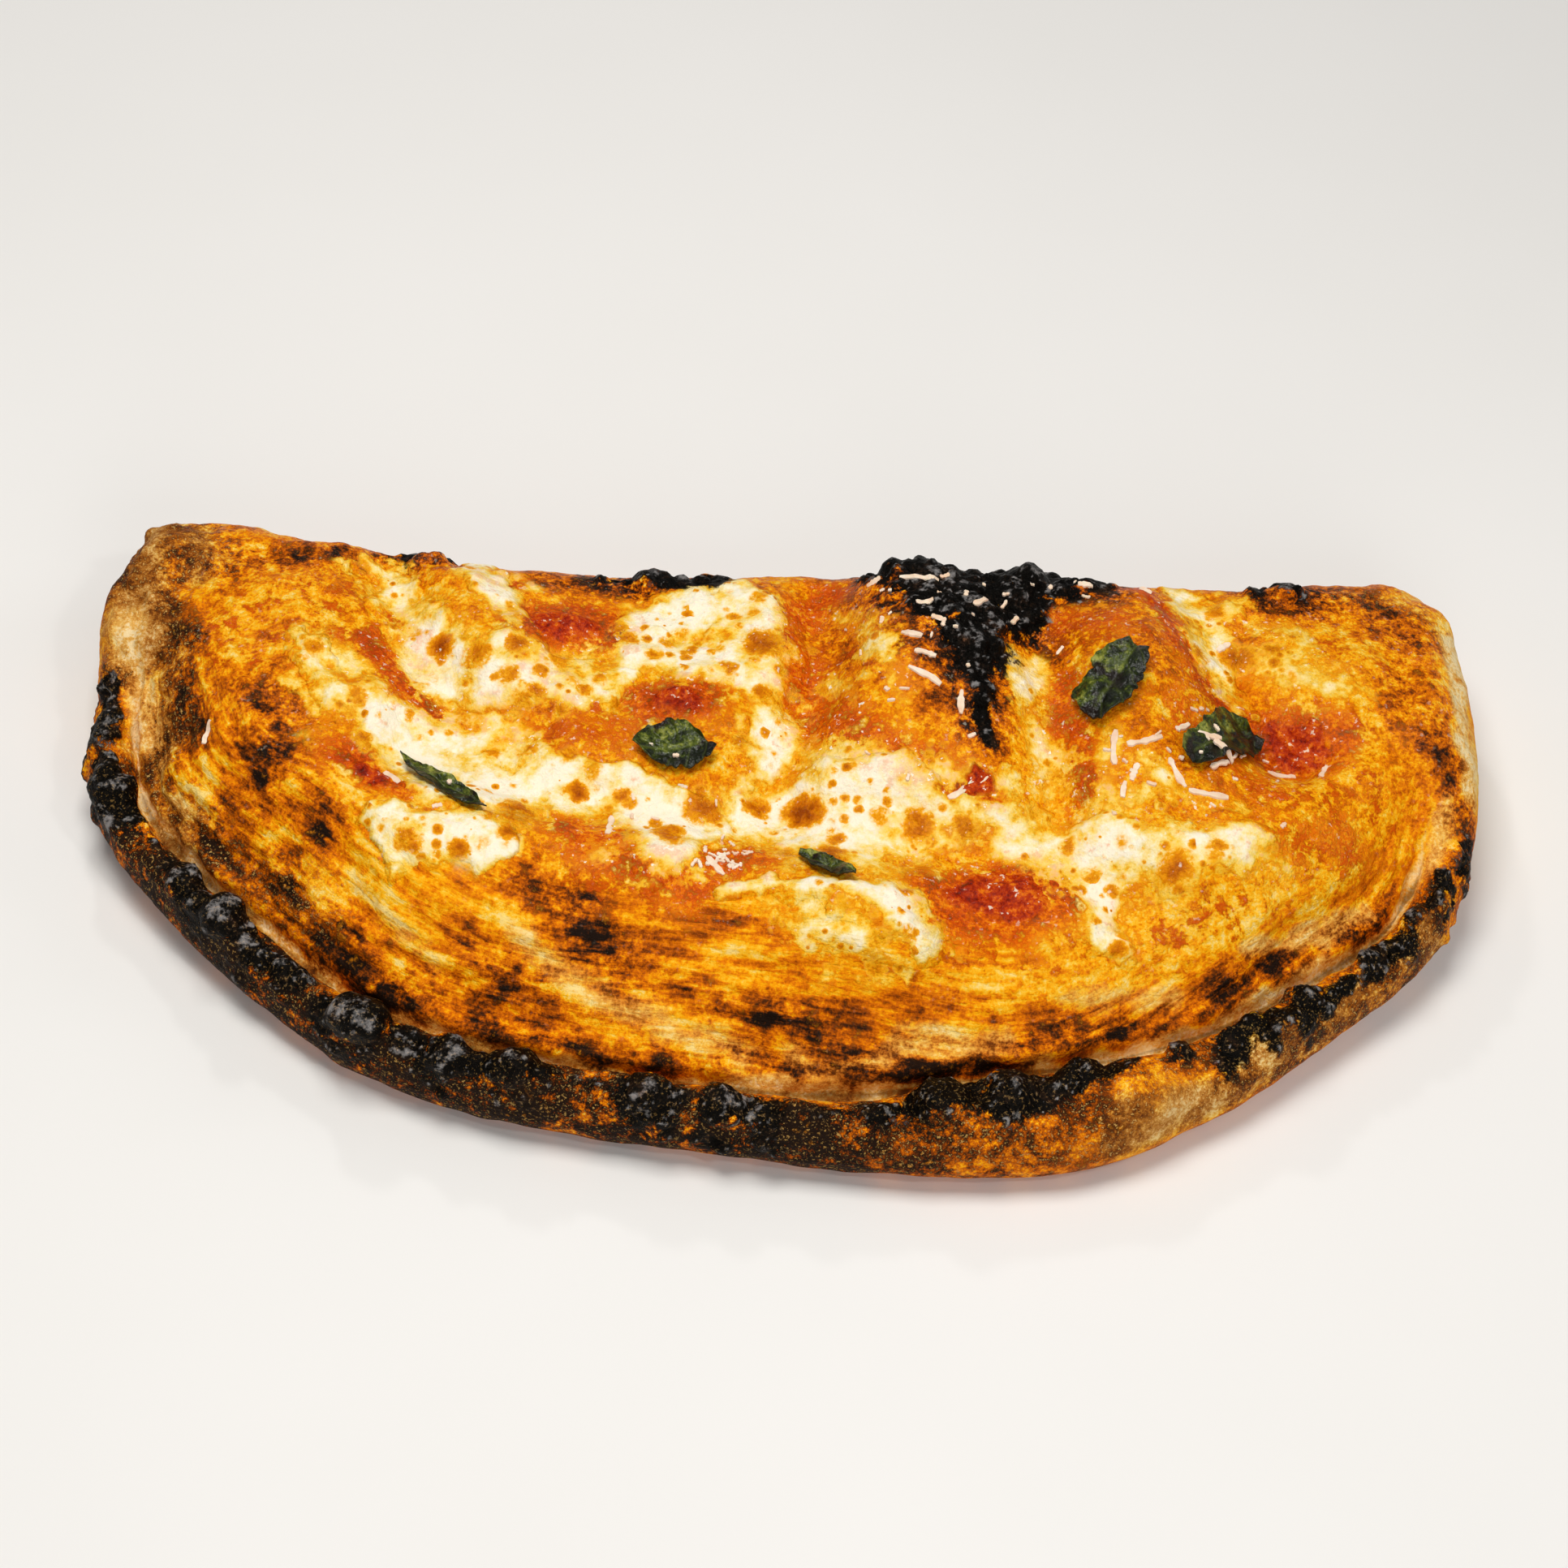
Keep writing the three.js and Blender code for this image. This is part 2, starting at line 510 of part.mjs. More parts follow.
const body = doughBody();
const onBody = surfaceOf(body);
const dough = unionOf([
  body,
  ...BLISTERS.map((one) => blister(onBody, one)),
  ...SHREDS.map((one) => shred(onBody, one)),
]);

// Each mozzarella piece is the union of its strands, cut to the dough and to the pieces made before it.
const pieces = { dough };
const blocked = [raised(dough)];
for (const [name, strands] of Object.entries(MOZZARELLA)) {
  const whole = unionOf(strands.map((one) => strand(onBody, one, 0)));
  pieces[name] = largest(blocked.reduce((rest, other) => rest.subtract(other), whole));
  blocked.push(unionOf(strands.map((one) => strand(onBody, one, GAP))));
}
for (const [name, shape] of Object.entries(TOMATO)) {
  const whole = patch(onBody, shape);
  pieces[name] = largest(blocked.reduce((rest, other) => rest.subtract(other), whole));
}
const soft = Object.values(pieces);
const onTop = surfaceOf(...soft);
for (const [name, shape] of Object.entries(BASIL)) {
  const cut = soft.reduce((rest, other) => rest.subtract(raised(other)), leaf(onTop, shape));
  pieces[name] = largest(cut);
}
const onLeaf = surfaceOf(pieces.basil_right);
pieces.basil_right = unionOf([pieces.basil_right, ...LEAF_SHREDS.map((one) => shred(onLeaf, one))]);

const LOOKS = {
  dough: { color: 0xd98a2b, roughness: 0.7, metalness: 0 },
  mozzarella: { color: 0xf6e3b8, roughness: 0.35, metalness: 0 },
  tomato: { color: 0xb52a0c, roughness: 0.3, metalness: 0 },
  basil: { color: 0x1f3319, roughness: 0.4, metalness: 0 },
};

const calzone = new THREE.Group();
for (const [name, solid] of Object.entries(pieces)) {
  const look = LOOKS[name.split("_")[0]];
  const mesh = new THREE.Mesh(geometryOf(solid), new THREE.MeshStandardMaterial(look));
  mesh.name = name;
  calzone.add(mesh);
}

// The origin is the middle of the bounding box, at the surface the calzone rests on.
const box = new THREE.Box3().setFromObject(calzone);
const middle = box.getCenter(new THREE.Vector3());
calzone.position.set(-middle.x, -middle.y, -box.min.z);

export default calzone;
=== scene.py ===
"""A baked calzone: the looks that go round its CAD frame.

Shapes are worked out in millimetres in the design frame: +X along the straight fold, +Y from the pinched rim
to the fold, +Z up. to_frame() moves them into the row's frame, in metres. The dough is a fine loft of the
half-moon outline, with blisters, wrinkles and char raised on it. Cheese, tomato, basil and shreds are solids
of their own that are draped on that loft.
"""

import math

import bmesh
import bpy
import numpy as np
from mathutils import Matrix, Vector
from mathutils.bvhtree import BVHTree
from mathutils.kdtree import KDTree


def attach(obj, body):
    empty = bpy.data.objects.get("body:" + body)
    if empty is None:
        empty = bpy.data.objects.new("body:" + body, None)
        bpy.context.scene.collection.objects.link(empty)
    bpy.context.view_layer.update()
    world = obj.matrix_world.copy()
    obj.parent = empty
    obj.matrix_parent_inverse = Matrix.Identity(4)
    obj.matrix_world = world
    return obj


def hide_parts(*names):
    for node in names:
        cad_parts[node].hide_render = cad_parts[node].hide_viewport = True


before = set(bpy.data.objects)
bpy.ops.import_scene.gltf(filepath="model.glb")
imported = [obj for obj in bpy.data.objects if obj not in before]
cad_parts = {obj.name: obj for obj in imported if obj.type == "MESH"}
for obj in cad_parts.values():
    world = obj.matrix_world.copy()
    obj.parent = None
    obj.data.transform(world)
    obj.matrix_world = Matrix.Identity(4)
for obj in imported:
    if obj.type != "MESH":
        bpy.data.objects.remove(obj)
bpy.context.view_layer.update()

SEED = 11
MM = 0.001
SHIFT = np.array([0.76, -2.26, 0.0])  # design frame to row frame, mm

# ---- driving dimensions of the dough, mm ----
HALF_LENGTH = 158.0
SPINE_Y = 8.0
SPINE_SHARE = 0.62
CROWN_Z = 39.5
RIM = dict(equator=9, under=6, top=19, width=11, crease=13, lip=17, rise=52, rise_at_ends=27, ends=(70, 140))
RIM_END = dict(left=40, right=8, fade=26)
RIM_WIDER = dict(x=60, reach=42, by=10.5)
FOLD = dict(equator=19, under=13, top=38, inset=20, shoulder=20)
END_TAPER = dict(start=90, end=160, share=0.2)
FOOT = dict(along_x=0.56, along_y=0.72)
TIP_LIFT = dict(start=88, end=160, height=8)

OUTLINE_SAMPLES = 200  # samples of each span of the outline's curve
HALF_STATIONS = 520  # sections round each half of the outline
PROFILE_STEPS = 7  # rings between two points of the edge profile
CROWN_RINGS = 100  # rings from the crease to the spine
FOOT_RINGS = 14  # rings across the underside
FOOT_INWARD = (-20, -14)  # stands for the distance in on the underside: at its middle and at its edge

OUTLINE = [
    (157.5, 34), (156.5, 58), (153, 76), (141, 83), (104, 78), (60, 79), (15, 76), (-30, 73), (-65, 73),
    (-102, 76), (-130, 82), (-150, 82), (-158, 64), (-158.5, 34), (-156, 6), (-144.5, -13), (-122, -36),
    (-95, -57), (-62, -69.5), (-20, -75), (29, -79), (66, -75), (96, -59), (121, -39), (145, -16), (155, 9),
]

# Domes and dips of the top: centre, half-widths along and across a turned axis, turn in degrees, height.
DOMES = [
    (-124, 42, 24, 26, 0, 2), (-38, 40, 34, 30, 0, -3), (30, 44, 25, 36, 0, 11), (77, 40, 19, 31, -8, 9),
    (128, 40, 30, 28, 0, 1.5), (12, -34, 17, 10, -12, 5.5), (-53, 47, 10, 7, 0, 2.5),
    (-26, 27, 8, 6, 0, 2.5), (112, 22, 11, 7, 10, -3.5), (45, -26, 13, 6, 5, -2),
]

# Valleys (negative) and ridges (positive) along lines of points: width, height, line.
FOLDS = [
    (9, -6, [(-84, 8), (-55, -2), (-20, -8), (20, -10), (58, -12), (72, -22)]),
    (8, -5.5, [(-94, 62), (-88, 40), (-76, 22), (-62, 14)]),
    (7, 2.5, [(-80, 62), (-73, 46), (-64, 36)]),
    (8, -7, [(4, 72), (7, 42), (0, 18), (-4, 0)]),
    (7, -5.5, [(55, 44), (57, 22), (58, 0)]),
    (8, -6.5, [(89, 74), (96, 48), (104, 28), (112, 20)]),
    (13, 2.5, [(-84, -24), (-44, -34), (0, -44), (52, -40), (100, -18)]),
]

# Large char blisters: centre and radius.
BLISTERS = [
    (-153, 33, 6), (-153, 21, 6.5), (-150, 4, 7.5), (-132, -18, 6.5), (-122, -29, 7), (-91, -53, 9.5),
    (-74, -60, 7), (-58, -63, 7.5), (-28, -69, 6.5), (-12, -71, 7.5), (31, -67, 9.5), (48, -65, 8),
    (63, -61, 8), (83, -50, 5.5), (98, -43, 7.5), (112, -33, 7), (127, -22, 7), (137, -12, 6),
    (149, 2, 5.5), (-87, 67, 5.5), (-34, 65.5, 6.5), (27, 69, 8), (53, 67, 7.5), (113.5, 71, 5.5),
]

# More of them along the fold, which only show as char.
BACK_BLISTERS = [
    (50, 60, 6), (60, 63, 4), (65, 64, 3.4), (41, 22, 4), (34, 62, 3.4), (22, 61, 3.6), (24, 68, 8),
    (40, 52, 3), (-84, 68, 6), (112, 68, 6), (55, 52, 3), (30, 50, 2.6), (47, 45, 2.4),
]

# Melted mozzarella: piece, and its strands as thickness and a line of (x, y, half-width).
MOZZARELLA = {
    "mozzarella_left": [
        (2.4, [(-112, 33, 4), (-101, 22, 6.5), (-91, 12, 9), (-78, 5, 11), (-62, 2, 11)]),
        (2.4, [(-72, 4, 11), (-58, 0, 9.5), (-47, -3, 7)]),
        (2.0, [(-56, 1, 7.5), (-44, 0, 6), (-30, -4, 6), (-18, -6, 5)]),
        (2.2, [(-31, -4, 7), (-30, -13, 11), (-27, -20, 7)]),
        (1.6, [(-92, 14, 9), (-78, 13, 10), (-64, 11, 9)]),
    ],
    "mozzarella_middle": [
        (2.4, [(-8, -2, 8), (5, -5, 12), (21, -7, 11), (39, -8, 8), (53, -9, 8.5), (66, -11, 10)]),
        (2.2, [(10, 2, 6), (22, 1, 8.5), (34, -4, 6)]),
        (2.4, [(60, -12, 10), (69, -19, 10), (67, -31, 6)]),
        (2.0, [(66, -12, 10), (80, -10, 11.5), (91, -9, 10), (99, -11, 5)]),
    ],
    "mozzarella_dome": [
        (2.2, [(-10, 62, 7), (-13, 49, 12), (-10, 34, 11), (-6, 20, 8), (-6, 10, 5)]),
        (2.0, [(-12, 44, 9), (-27, 40, 9), (-40, 37, 6.5)]),
        (1.4, [(-36, 42, 6), (-28, 51, 8), (-14, 54, 8)]),
    ],
    "mozzarella_back": [
        (2.4, [(-98, 62, 4), (-88, 47, 6.5), (-80, 36, 6.5), (-75, 28, 6)]),
        (2.2, [(-82, 27, 5), (-66, 28, 9.5), (-53, 29, 9), (-41, 29, 5.5)]),
        (2.0, [(-73, 64, 5.5), (-68, 49, 7), (-62, 37, 7)]),
    ],
    "mozzarella_corner": [(2.0, [(-92, -15, 4), (-84, -18, 7.5), (-74, -17, 7.5), (-63, -17.5, 4)])],
    "mozzarella_fold": [(2.2, [(90, 67, 7), (93, 54, 7.5), (97, 42, 6), (102, 32, 4)])],
    "mozzarella_front": [
        (2.2, [(-14, -27, 4), (-3, -26, 4.5), (9, -29, 5.5), (20, -32.5, 6), (28, -38, 4.5)]),
    ],
}

# Thick tomato: centre, half-lengths along X and Y, turn in degrees, thickness.
TOMATO = {
    "tomato_back": (-53, 47, 9, 5.5, -10, 1.6),
    "tomato_bright": (-26, 25, 7, 5, -10, 1.8),
    "tomato_front": (44, -24, 14, 7.5, 6, 1.6),
    "tomato_right": (114, 25, 8.5, 5.5, -5, 1.5),
    "tomato_left": (-93, -1, 6, 3.5, -30, 1.3),
    "tomato_centre": (40, 3, 5, 3, -8, 1.3),
}

# Torn basil: centre, length, width, turn in degrees, curl of its edges.
BASIL = {
    "basil_left": (-77, -3.5, 22, 5, -36, 1.0),
    "basil_middle": (-27, 9.5, 15, 12, 8, 2.0),
    "basil_dome": (70, 28, 21, 13, 58, 2.2),
    "basil_right": (95, 18.5, 24, 11, 42, 2.0),
    "basil_front": (7, -22, 15, 5, -36, 1.0),
}
BASIL_THICK = 0.5

# Shreds of hard cheese: centre, length, turn in degrees. The last three lie on basil_right.
SHRED = dict(width=1.6, thick=0.5, steps=8)
CRUMB = dict(length=(0.8, 2.4), turn=(0, 180), width=(0.6, 1.2))
SHREDS = [
    (27, 57, 9, -8), (28, 48, 4, 15), (41, 50, 5, 50), (25, 38, 5, -25), (28, 32.5, 5, -15),
    (28, 27, 8.5, -32), (36, 21, 6, 88), (31, 42, 3.5, -20), (49, 49, 3, 60), (66, 63, 3.5, 0),
    (17, 59, 3, 20), (38, 1, 10, 30), (70, 12, 8, 88), (77, 14, 8.5, 20), (84, 7, 8, -65), (72, 2, 4, 80),
    (74.5, 6.5, 4.5, 70), (91, 2.5, 9, -3), (86, 20, 4, 35), (110, 18, 7, 12), (119, 17, 5, 66),
    (98, 51, 4, 40), (-40, -11, 7, 84), (-17, -22, 6, -50), (-130, 12, 4, 70), (-88, -2, 5, -45),
    (80, 63, 3, -25), (91, 17, 7, -3), (95, 14.5, 5.5, -34), (94, 11, 5, 32),
]
# Crumbs of it: centre, spread, count.
CRUMBS = [
    (-15, -20, 3, 26), (34, 48, 12, 16), (74, 9, 7, 8), (88, 20, 4, 5), (-30, 0, 6, 8), (-77, -4, 3, 3),
    (100, 16, 8, 6), (58, 58, 8, 6), (20, 14, 10, 5), (96, 6, 5, 4),
]

# ---- small numeric helpers ----
def smooth(a, b, x):
    t = np.clip((x - a) / (b - a), 0, 1)
    return t * t * (3 - 2 * t)


def lerp(a, b, t):
    return a + (b - a) * t


def to_frame(points):
    """Design frame in mm to the row's frame in metres."""
    return (np.asarray(points, float) + SHIFT) * MM


def hashed(ix, iy, iz, seed):
    """A fixed pseudo-random number from 0 to 1 for each whole-number cell."""
    n = (ix * 374761393 + iy * 668265263 + iz * 2147483647 + seed * 1274126177) & 0xFFFFFFFF
    n = ((n ^ (n >> 13)) * 1103515245) & 0xFFFFFFFF
    n = ((n ^ (n >> 16)) * 2246822519) & 0xFFFFFFFF
    return ((n ^ (n >> 15)) & 0xFFFFFF) / 0xFFFFFF


def noise(points, scale, seed=0, octaves=3):
    """Smooth noise from about -1 to 1. scale is the size of its lumps, one number or one for each axis."""
    points = np.asarray(points, float) / scale
    if points.shape[1] == 2:
        points = np.column_stack([points, np.zeros(len(points))])
    total, weight = np.zeros(len(points)), 0.0
    for octave in range(octaves):
        q = points * 2**octave + 19.7 * (octave + 1) + seed * 7.31
        cell = np.floor(q).astype(np.int64)
        f = q - cell
        f = f * f * f * (f * (f * 6 - 15) + 10)
        value = np.zeros(len(points))
        for dx in (0, 1):
            for dy in (0, 1):
                for dz in (0, 1):
                    w = (f[:, 0] if dx else 1 - f[:, 0]) * (f[:, 1] if dy else 1 - f[:, 1])
                    w = w * (f[:, 2] if dz else 1 - f[:, 2])
                    value += w * hashed(cell[:, 0] + dx, cell[:, 1] + dy, cell[:, 2] + dz, seed)
        total += (value * 2 - 1) * 0.5**octave
        weight += 0.5**octave
    return total / weight * 1.6


def lumps(points, rows):
    """Relief of several sizes. Rows: height, size of its lumps, seed, and a mask of where it is."""
    return sum(by * noise(points, size, seed, 2) * where for by, size, seed, where in rows)


def waver(x, y, rows):
    """Places moved about by noise. Rows: how far, size of its lumps, seeds for X and Y, octaves."""
    p = np.column_stack([x, y])
    return [
        v + sum(by * noise(p, size, seeds[k], octaves) for by, size, seeds, octaves in rows)
        for k, v in enumerate((x, y))
    ]


def to_line(x, y, line):
    """Distance from points to a line of points, and how far along it in points the nearest place is."""
    nearest, place = np.full(x.shape, 1e9), np.zeros(x.shape)
    for i in range(len(line) - 1):
        (ax, ay), (bx, by) = line[i][:2], line[i + 1][:2]
        t = ((x - ax) * (bx - ax) + (y - ay) * (by - ay)) / ((bx - ax) ** 2 + (by - ay) ** 2)
        t = np.clip(t, 0, 1)
        d = np.hypot(x - lerp(ax, bx, t), y - lerp(ay, by, t))
        closer = d < nearest
        nearest, place = np.where(closer, d, nearest), np.where(closer, i + t, place)
    return nearest, place


def cos_sin(degrees):
    return math.cos(math.radians(degrees)), math.sin(math.radians(degrees))


def in_ellipse(x, y, centre_x, centre_y, along, across, turn):
    """Coordinates in an ellipse's own turned frame, 1 at its edge."""
    c, s = cos_sin(turn)
    dx, dy = x - centre_x, y - centre_y
    return (dx * c + dy * s) / along, (dy * c - dx * s) / across


# ---- the dough's loft ----
def closed_curve(points, dense):
    """A closed centripetal Catmull-Rom curve through the points, dense samples to each span."""
    p = np.array(points, float)
    out = []
    for i in range(len(p)):
        p0, p1, p2, p3 = p[i - 1], p[i], p[(i + 1) % len(p)], p[(i + 2) % len(p)]
        d0, d1, d2 = (np.linalg.norm(b - a) ** 0.5 for a, b in ((p0, p1), (p1, p2), (p2, p3)))
        t1 = ((p1 - p0) / d0 - (p2 - p0) / (d0 + d1) + (p2 - p1) / d1) * d1
        t2 = ((p2 - p1) / d1 - (p3 - p1) / (d1 + d2) + (p3 - p2) / d2) * d1
        t = np.linspace(0, 1, dense, endpoint=False)[:, None]
        out.append(
            p1 + t1 * t + (3 * (p2 - p1) - 2 * t1 - t2) * t**2 + (2 * (p1 - p2) + t1 + t2) * t**3
        )
    return np.concatenate(out)


def make_stations():
    """Points of the outline with their spine points, rim shares and rim widths, counterclockwise."""
    dense = closed_curve(OUTLINE, OUTLINE_SAMPLES)
    half = len(dense) // 2
    loop = np.vstack([dense, dense[:1]])
    halves = []
    for part in (loop[: half + 1], loop[half:]):
        run = np.concatenate([[0], np.cumsum(np.linalg.norm(np.diff(part, axis=0), axis=1))])
        goal = run[-1] * np.arange(HALF_STATIONS) / HALF_STATIONS
        halves.append(np.column_stack([np.interp(goal, run, part[:, k]) for k in (0, 1)]))
    xy = np.vstack(halves)
    count = len(xy)
    partner = (count - np.arange(count)) % count
    x, y = xy.T
    rim_end = lerp(RIM_END["left"], RIM_END["right"], (x + HALF_LENGTH) / (2 * HALF_LENGTH))
    share = 1 - smooth(rim_end - RIM_END["fade"], rim_end + RIM_END["fade"], y)
    wider = RIM_WIDER["by"] * np.exp(-(((x - RIM_WIDER["x"]) / RIM_WIDER["reach"]) ** 2)) * (y < 0)
    step = np.linalg.norm(xy - np.roll(xy, 1, axis=0), axis=1)
    return dict(
        x=x, y=y, count=count, partner=partner, share=share, width=RIM["width"] + wider,
        spine_x=SPINE_SHARE * (x + x[partner]) / 2, along=np.cumsum(step),
    )


def edge_profile(s):
    """Points of every section from the underside to the crease's lip: distance in and height arrays."""
    x = s["x"]
    wave = 1 + 0.07 * np.sin(x / 5.5) + 0.05 * np.sin(x / 2.9 + 1)
    w, eq, top = s["width"], RIM["equator"], RIM["top"]
    rim = [
        (RIM["under"], 0), (RIM["under"] * 0.4, eq * 0.3), (RIM["under"] * 0.08, eq * 0.7), (0, eq),
        (w * 0.07, lerp(eq, top, 0.55)), (w * 0.25, lerp(eq, top, 0.9) * wave), (w * 0.5, top * wave),
        (w * 0.8, top * 0.9), (w, RIM["crease"]), (w + 2.5, RIM["lip"]),
    ]
    eq, top, inset = FOLD["equator"], FOLD["top"], FOLD["inset"]
    fold = [
        (FOLD["under"], 0), (FOLD["under"] * 0.4, eq * 0.2), (FOLD["under"] * 0.08, eq * 0.6), (0, eq),
        (inset * 0.06, lerp(eq, top, 0.4)), (inset * 0.2, lerp(eq, top, 0.68)),
        (inset * 0.4, lerp(eq, top, 0.86)), (inset * 0.65, lerp(eq, top, 0.97)), (inset * 0.85, top),
        (inset, top),
    ]
    share = s["share"]
    points = [(lerp(f[0], r[0], share), lerp(f[1], r[1], share)) for f, r in zip(fold, rim)]
    inward = np.array([np.broadcast_to(p[0], x.shape) for p in points])
    height = np.array([np.broadcast_to(p[1], x.shape) for p in points])
    return inward, height


def refine(rows, steps):
    """Catmull-Rom points between the rows of an array, steps to each span."""
    padded = np.vstack([2 * rows[:1] - rows[1:2], rows, 2 * rows[-1:] - rows[-2:-1]])
    out = []
    for i in range(1, len(padded) - 2):
        a, b, c, d = padded[i - 1 : i + 3]
        for k in range(steps):
            t = k / steps
            out.append(
                0.5 * (2 * b + (c - a) * t + (2 * a - 5 * b + 4 * c - d) * t**2
                       + (3 * b - a - 3 * c + d) * t**3)
            )
    return np.vstack([out, rows[-1:]])


def relief(x, y):
    z = np.zeros(x.shape)
    for cx, cy, along, across, turn, height in DOMES:
        u, v = in_ellipse(x, y, cx, cy, along, across, turn)
        z += height * np.exp(-(u * u + v * v))
    for width, height, line in FOLDS:
        z += height * np.exp(-((to_line(x, y, line)[0] / width) ** 2))
    return z


def section_points(s, inward, height):
    length = np.hypot(s["x"] - s["spine_x"], s["y"] - SPINE_Y)
    share = np.minimum(1, inward / length)
    x = lerp(s["x"], s["spine_x"], share)
    y = lerp(s["y"], SPINE_Y, share)
    shown = smooth(5, lerp(16, 26, s["share"]), inward) * smooth(0, FOLD["equator"], height)
    taper = 1 - END_TAPER["share"] * smooth(END_TAPER["start"], END_TAPER["end"], np.abs(x))
    t = np.clip((np.abs(x) - TIP_LIFT["start"]) / (TIP_LIFT["end"] - TIP_LIFT["start"]), 0, 1)
    z = height * taper + TIP_LIFT["height"] * t * t + relief(x, y) * shown
    return np.column_stack([x, y, z])


def make_loft():
    """The dough's points and faces, and the place along the edge, distance in and rim of each point."""
    s = make_stations()
    count, partner = s["count"], s["partner"]
    rings, inwards = [], []

    def ring(points, inward):
        rings.append(points)
        inwards.append(np.broadcast_to(inward, (count,)))

    foot = np.column_stack([
        s["x"] * FOOT["along_x"], SPINE_Y + (s["y"] - SPINE_Y) * FOOT["along_y"], np.zeros(count)])
    middle = np.column_stack([s["spine_x"] * FOOT["along_x"], np.full(count, SPINE_Y), np.zeros(count)])
    for k in range(FOOT_RINGS + 1):
        ring(lerp(middle, foot, k / FOOT_RINGS), lerp(*FOOT_INWARD, k / FOOT_RINGS))
    inward, height = edge_profile(s)
    # The last step from the foot to the edge is split, so that the underside's curve is smooth.
    first = section_points(s, inward[0], height[0])
    for t in (0.25, 0.5, 0.75):
        ring(lerp(foot, first, t), lerp(FOOT_INWARD[1], 0, t))
    fine_in, fine_up = refine(inward, PROFILE_STEPS), refine(height, PROFILE_STEPS)
    for d, z in zip(fine_in, fine_up):
        ring(section_points(s, d, np.maximum(z, 0)), d)
    lip = inward[-1]
    length = np.hypot(s["x"] - s["spine_x"], s["y"] - SPINE_Y)
    rise = lerp(RIM["rise"], RIM["rise_at_ends"], smooth(*RIM["ends"], np.abs(s["x"])))
    for k in range(1, CROWN_RINGS + 1):
        d = lerp(lip, length, k / CROWN_RINGS)
        slope = RIM["lip"] + (CROWN_Z - RIM["lip"]) * np.sin(np.pi / 2 * np.clip((d - lip) / rise, 0, 1))
        shoulder = lerp(FOLD["top"], CROWN_Z, smooth(0, FOLD["shoulder"], d - lip))
        ring(section_points(s, d, lerp(shoulder, slope, s["share"])), d)

    # The first and last rings lie on a spine, where each station meets its partner.
    last = len(rings) - 1
    index = np.arange(len(rings) * count).reshape(len(rings), count)
    for k in (0, last):
        index[k] = index[k][np.minimum(np.arange(count), partner)]
    a, b = index[:-1], np.roll(index[:-1], -1, axis=1)
    c, d = np.roll(index[1:], -1, axis=1), index[1:]
    quads = np.stack([a, b, c, d], -1).reshape(-1, 4)
    used, flat = np.unique(quads, return_inverse=True)
    info = {key: np.tile(s[key], len(rings))[used] for key in ("along", "share", "width")}
    info["inward"] = np.concatenate(inwards)[used]
    return np.vstack(rings)[used], flat.reshape(-1, 4), info


def normals_of(points, quads):
    """Unit normals at the points."""
    a, b, c, d = (points[quads[:, k]] for k in range(4))
    face = np.cross(c - a, d - b)
    total = np.zeros_like(points)
    for k in range(4):
        np.add.at(total, quads[:, k], face)
    return total / (np.linalg.norm(total, axis=1, keepdims=True) + 1e-12)


def linked(name, data):
    """A new object, put in the scene."""
    obj = bpy.data.objects.new(name, data)
    bpy.context.scene.collection.objects.link(obj)
    return obj


def mesh_object(name, points, faces, attributes=(), shade_smooth=True):
    """A mesh object from points in the design frame. Faces of four may repeat a corner where they close."""
    clean = []
    for face in np.asarray(faces).tolist():
        corners = [v for k, v in enumerate(face) if v != face[k - 1]]
        if len(set(corners)) == len(corners) and len(corners) > 2:
            clean.append(corners)
    mesh = bpy.data.meshes.new(name)
    mesh.from_pydata(to_frame(points).tolist(), [], clean)
    mesh.validate()
    for key, values in dict(attributes).items():
        values = np.asarray(values, np.float32)
        if values.ndim == 2:
            mesh.attributes.new(key, "FLOAT_VECTOR", "POINT").data.foreach_set("vector", values.ravel())
        else:
            mesh.attributes.new(key, "FLOAT", "POINT").data.foreach_set("value", values)
    if shade_smooth:
        mesh.shade_smooth()
    return linked(name, mesh)


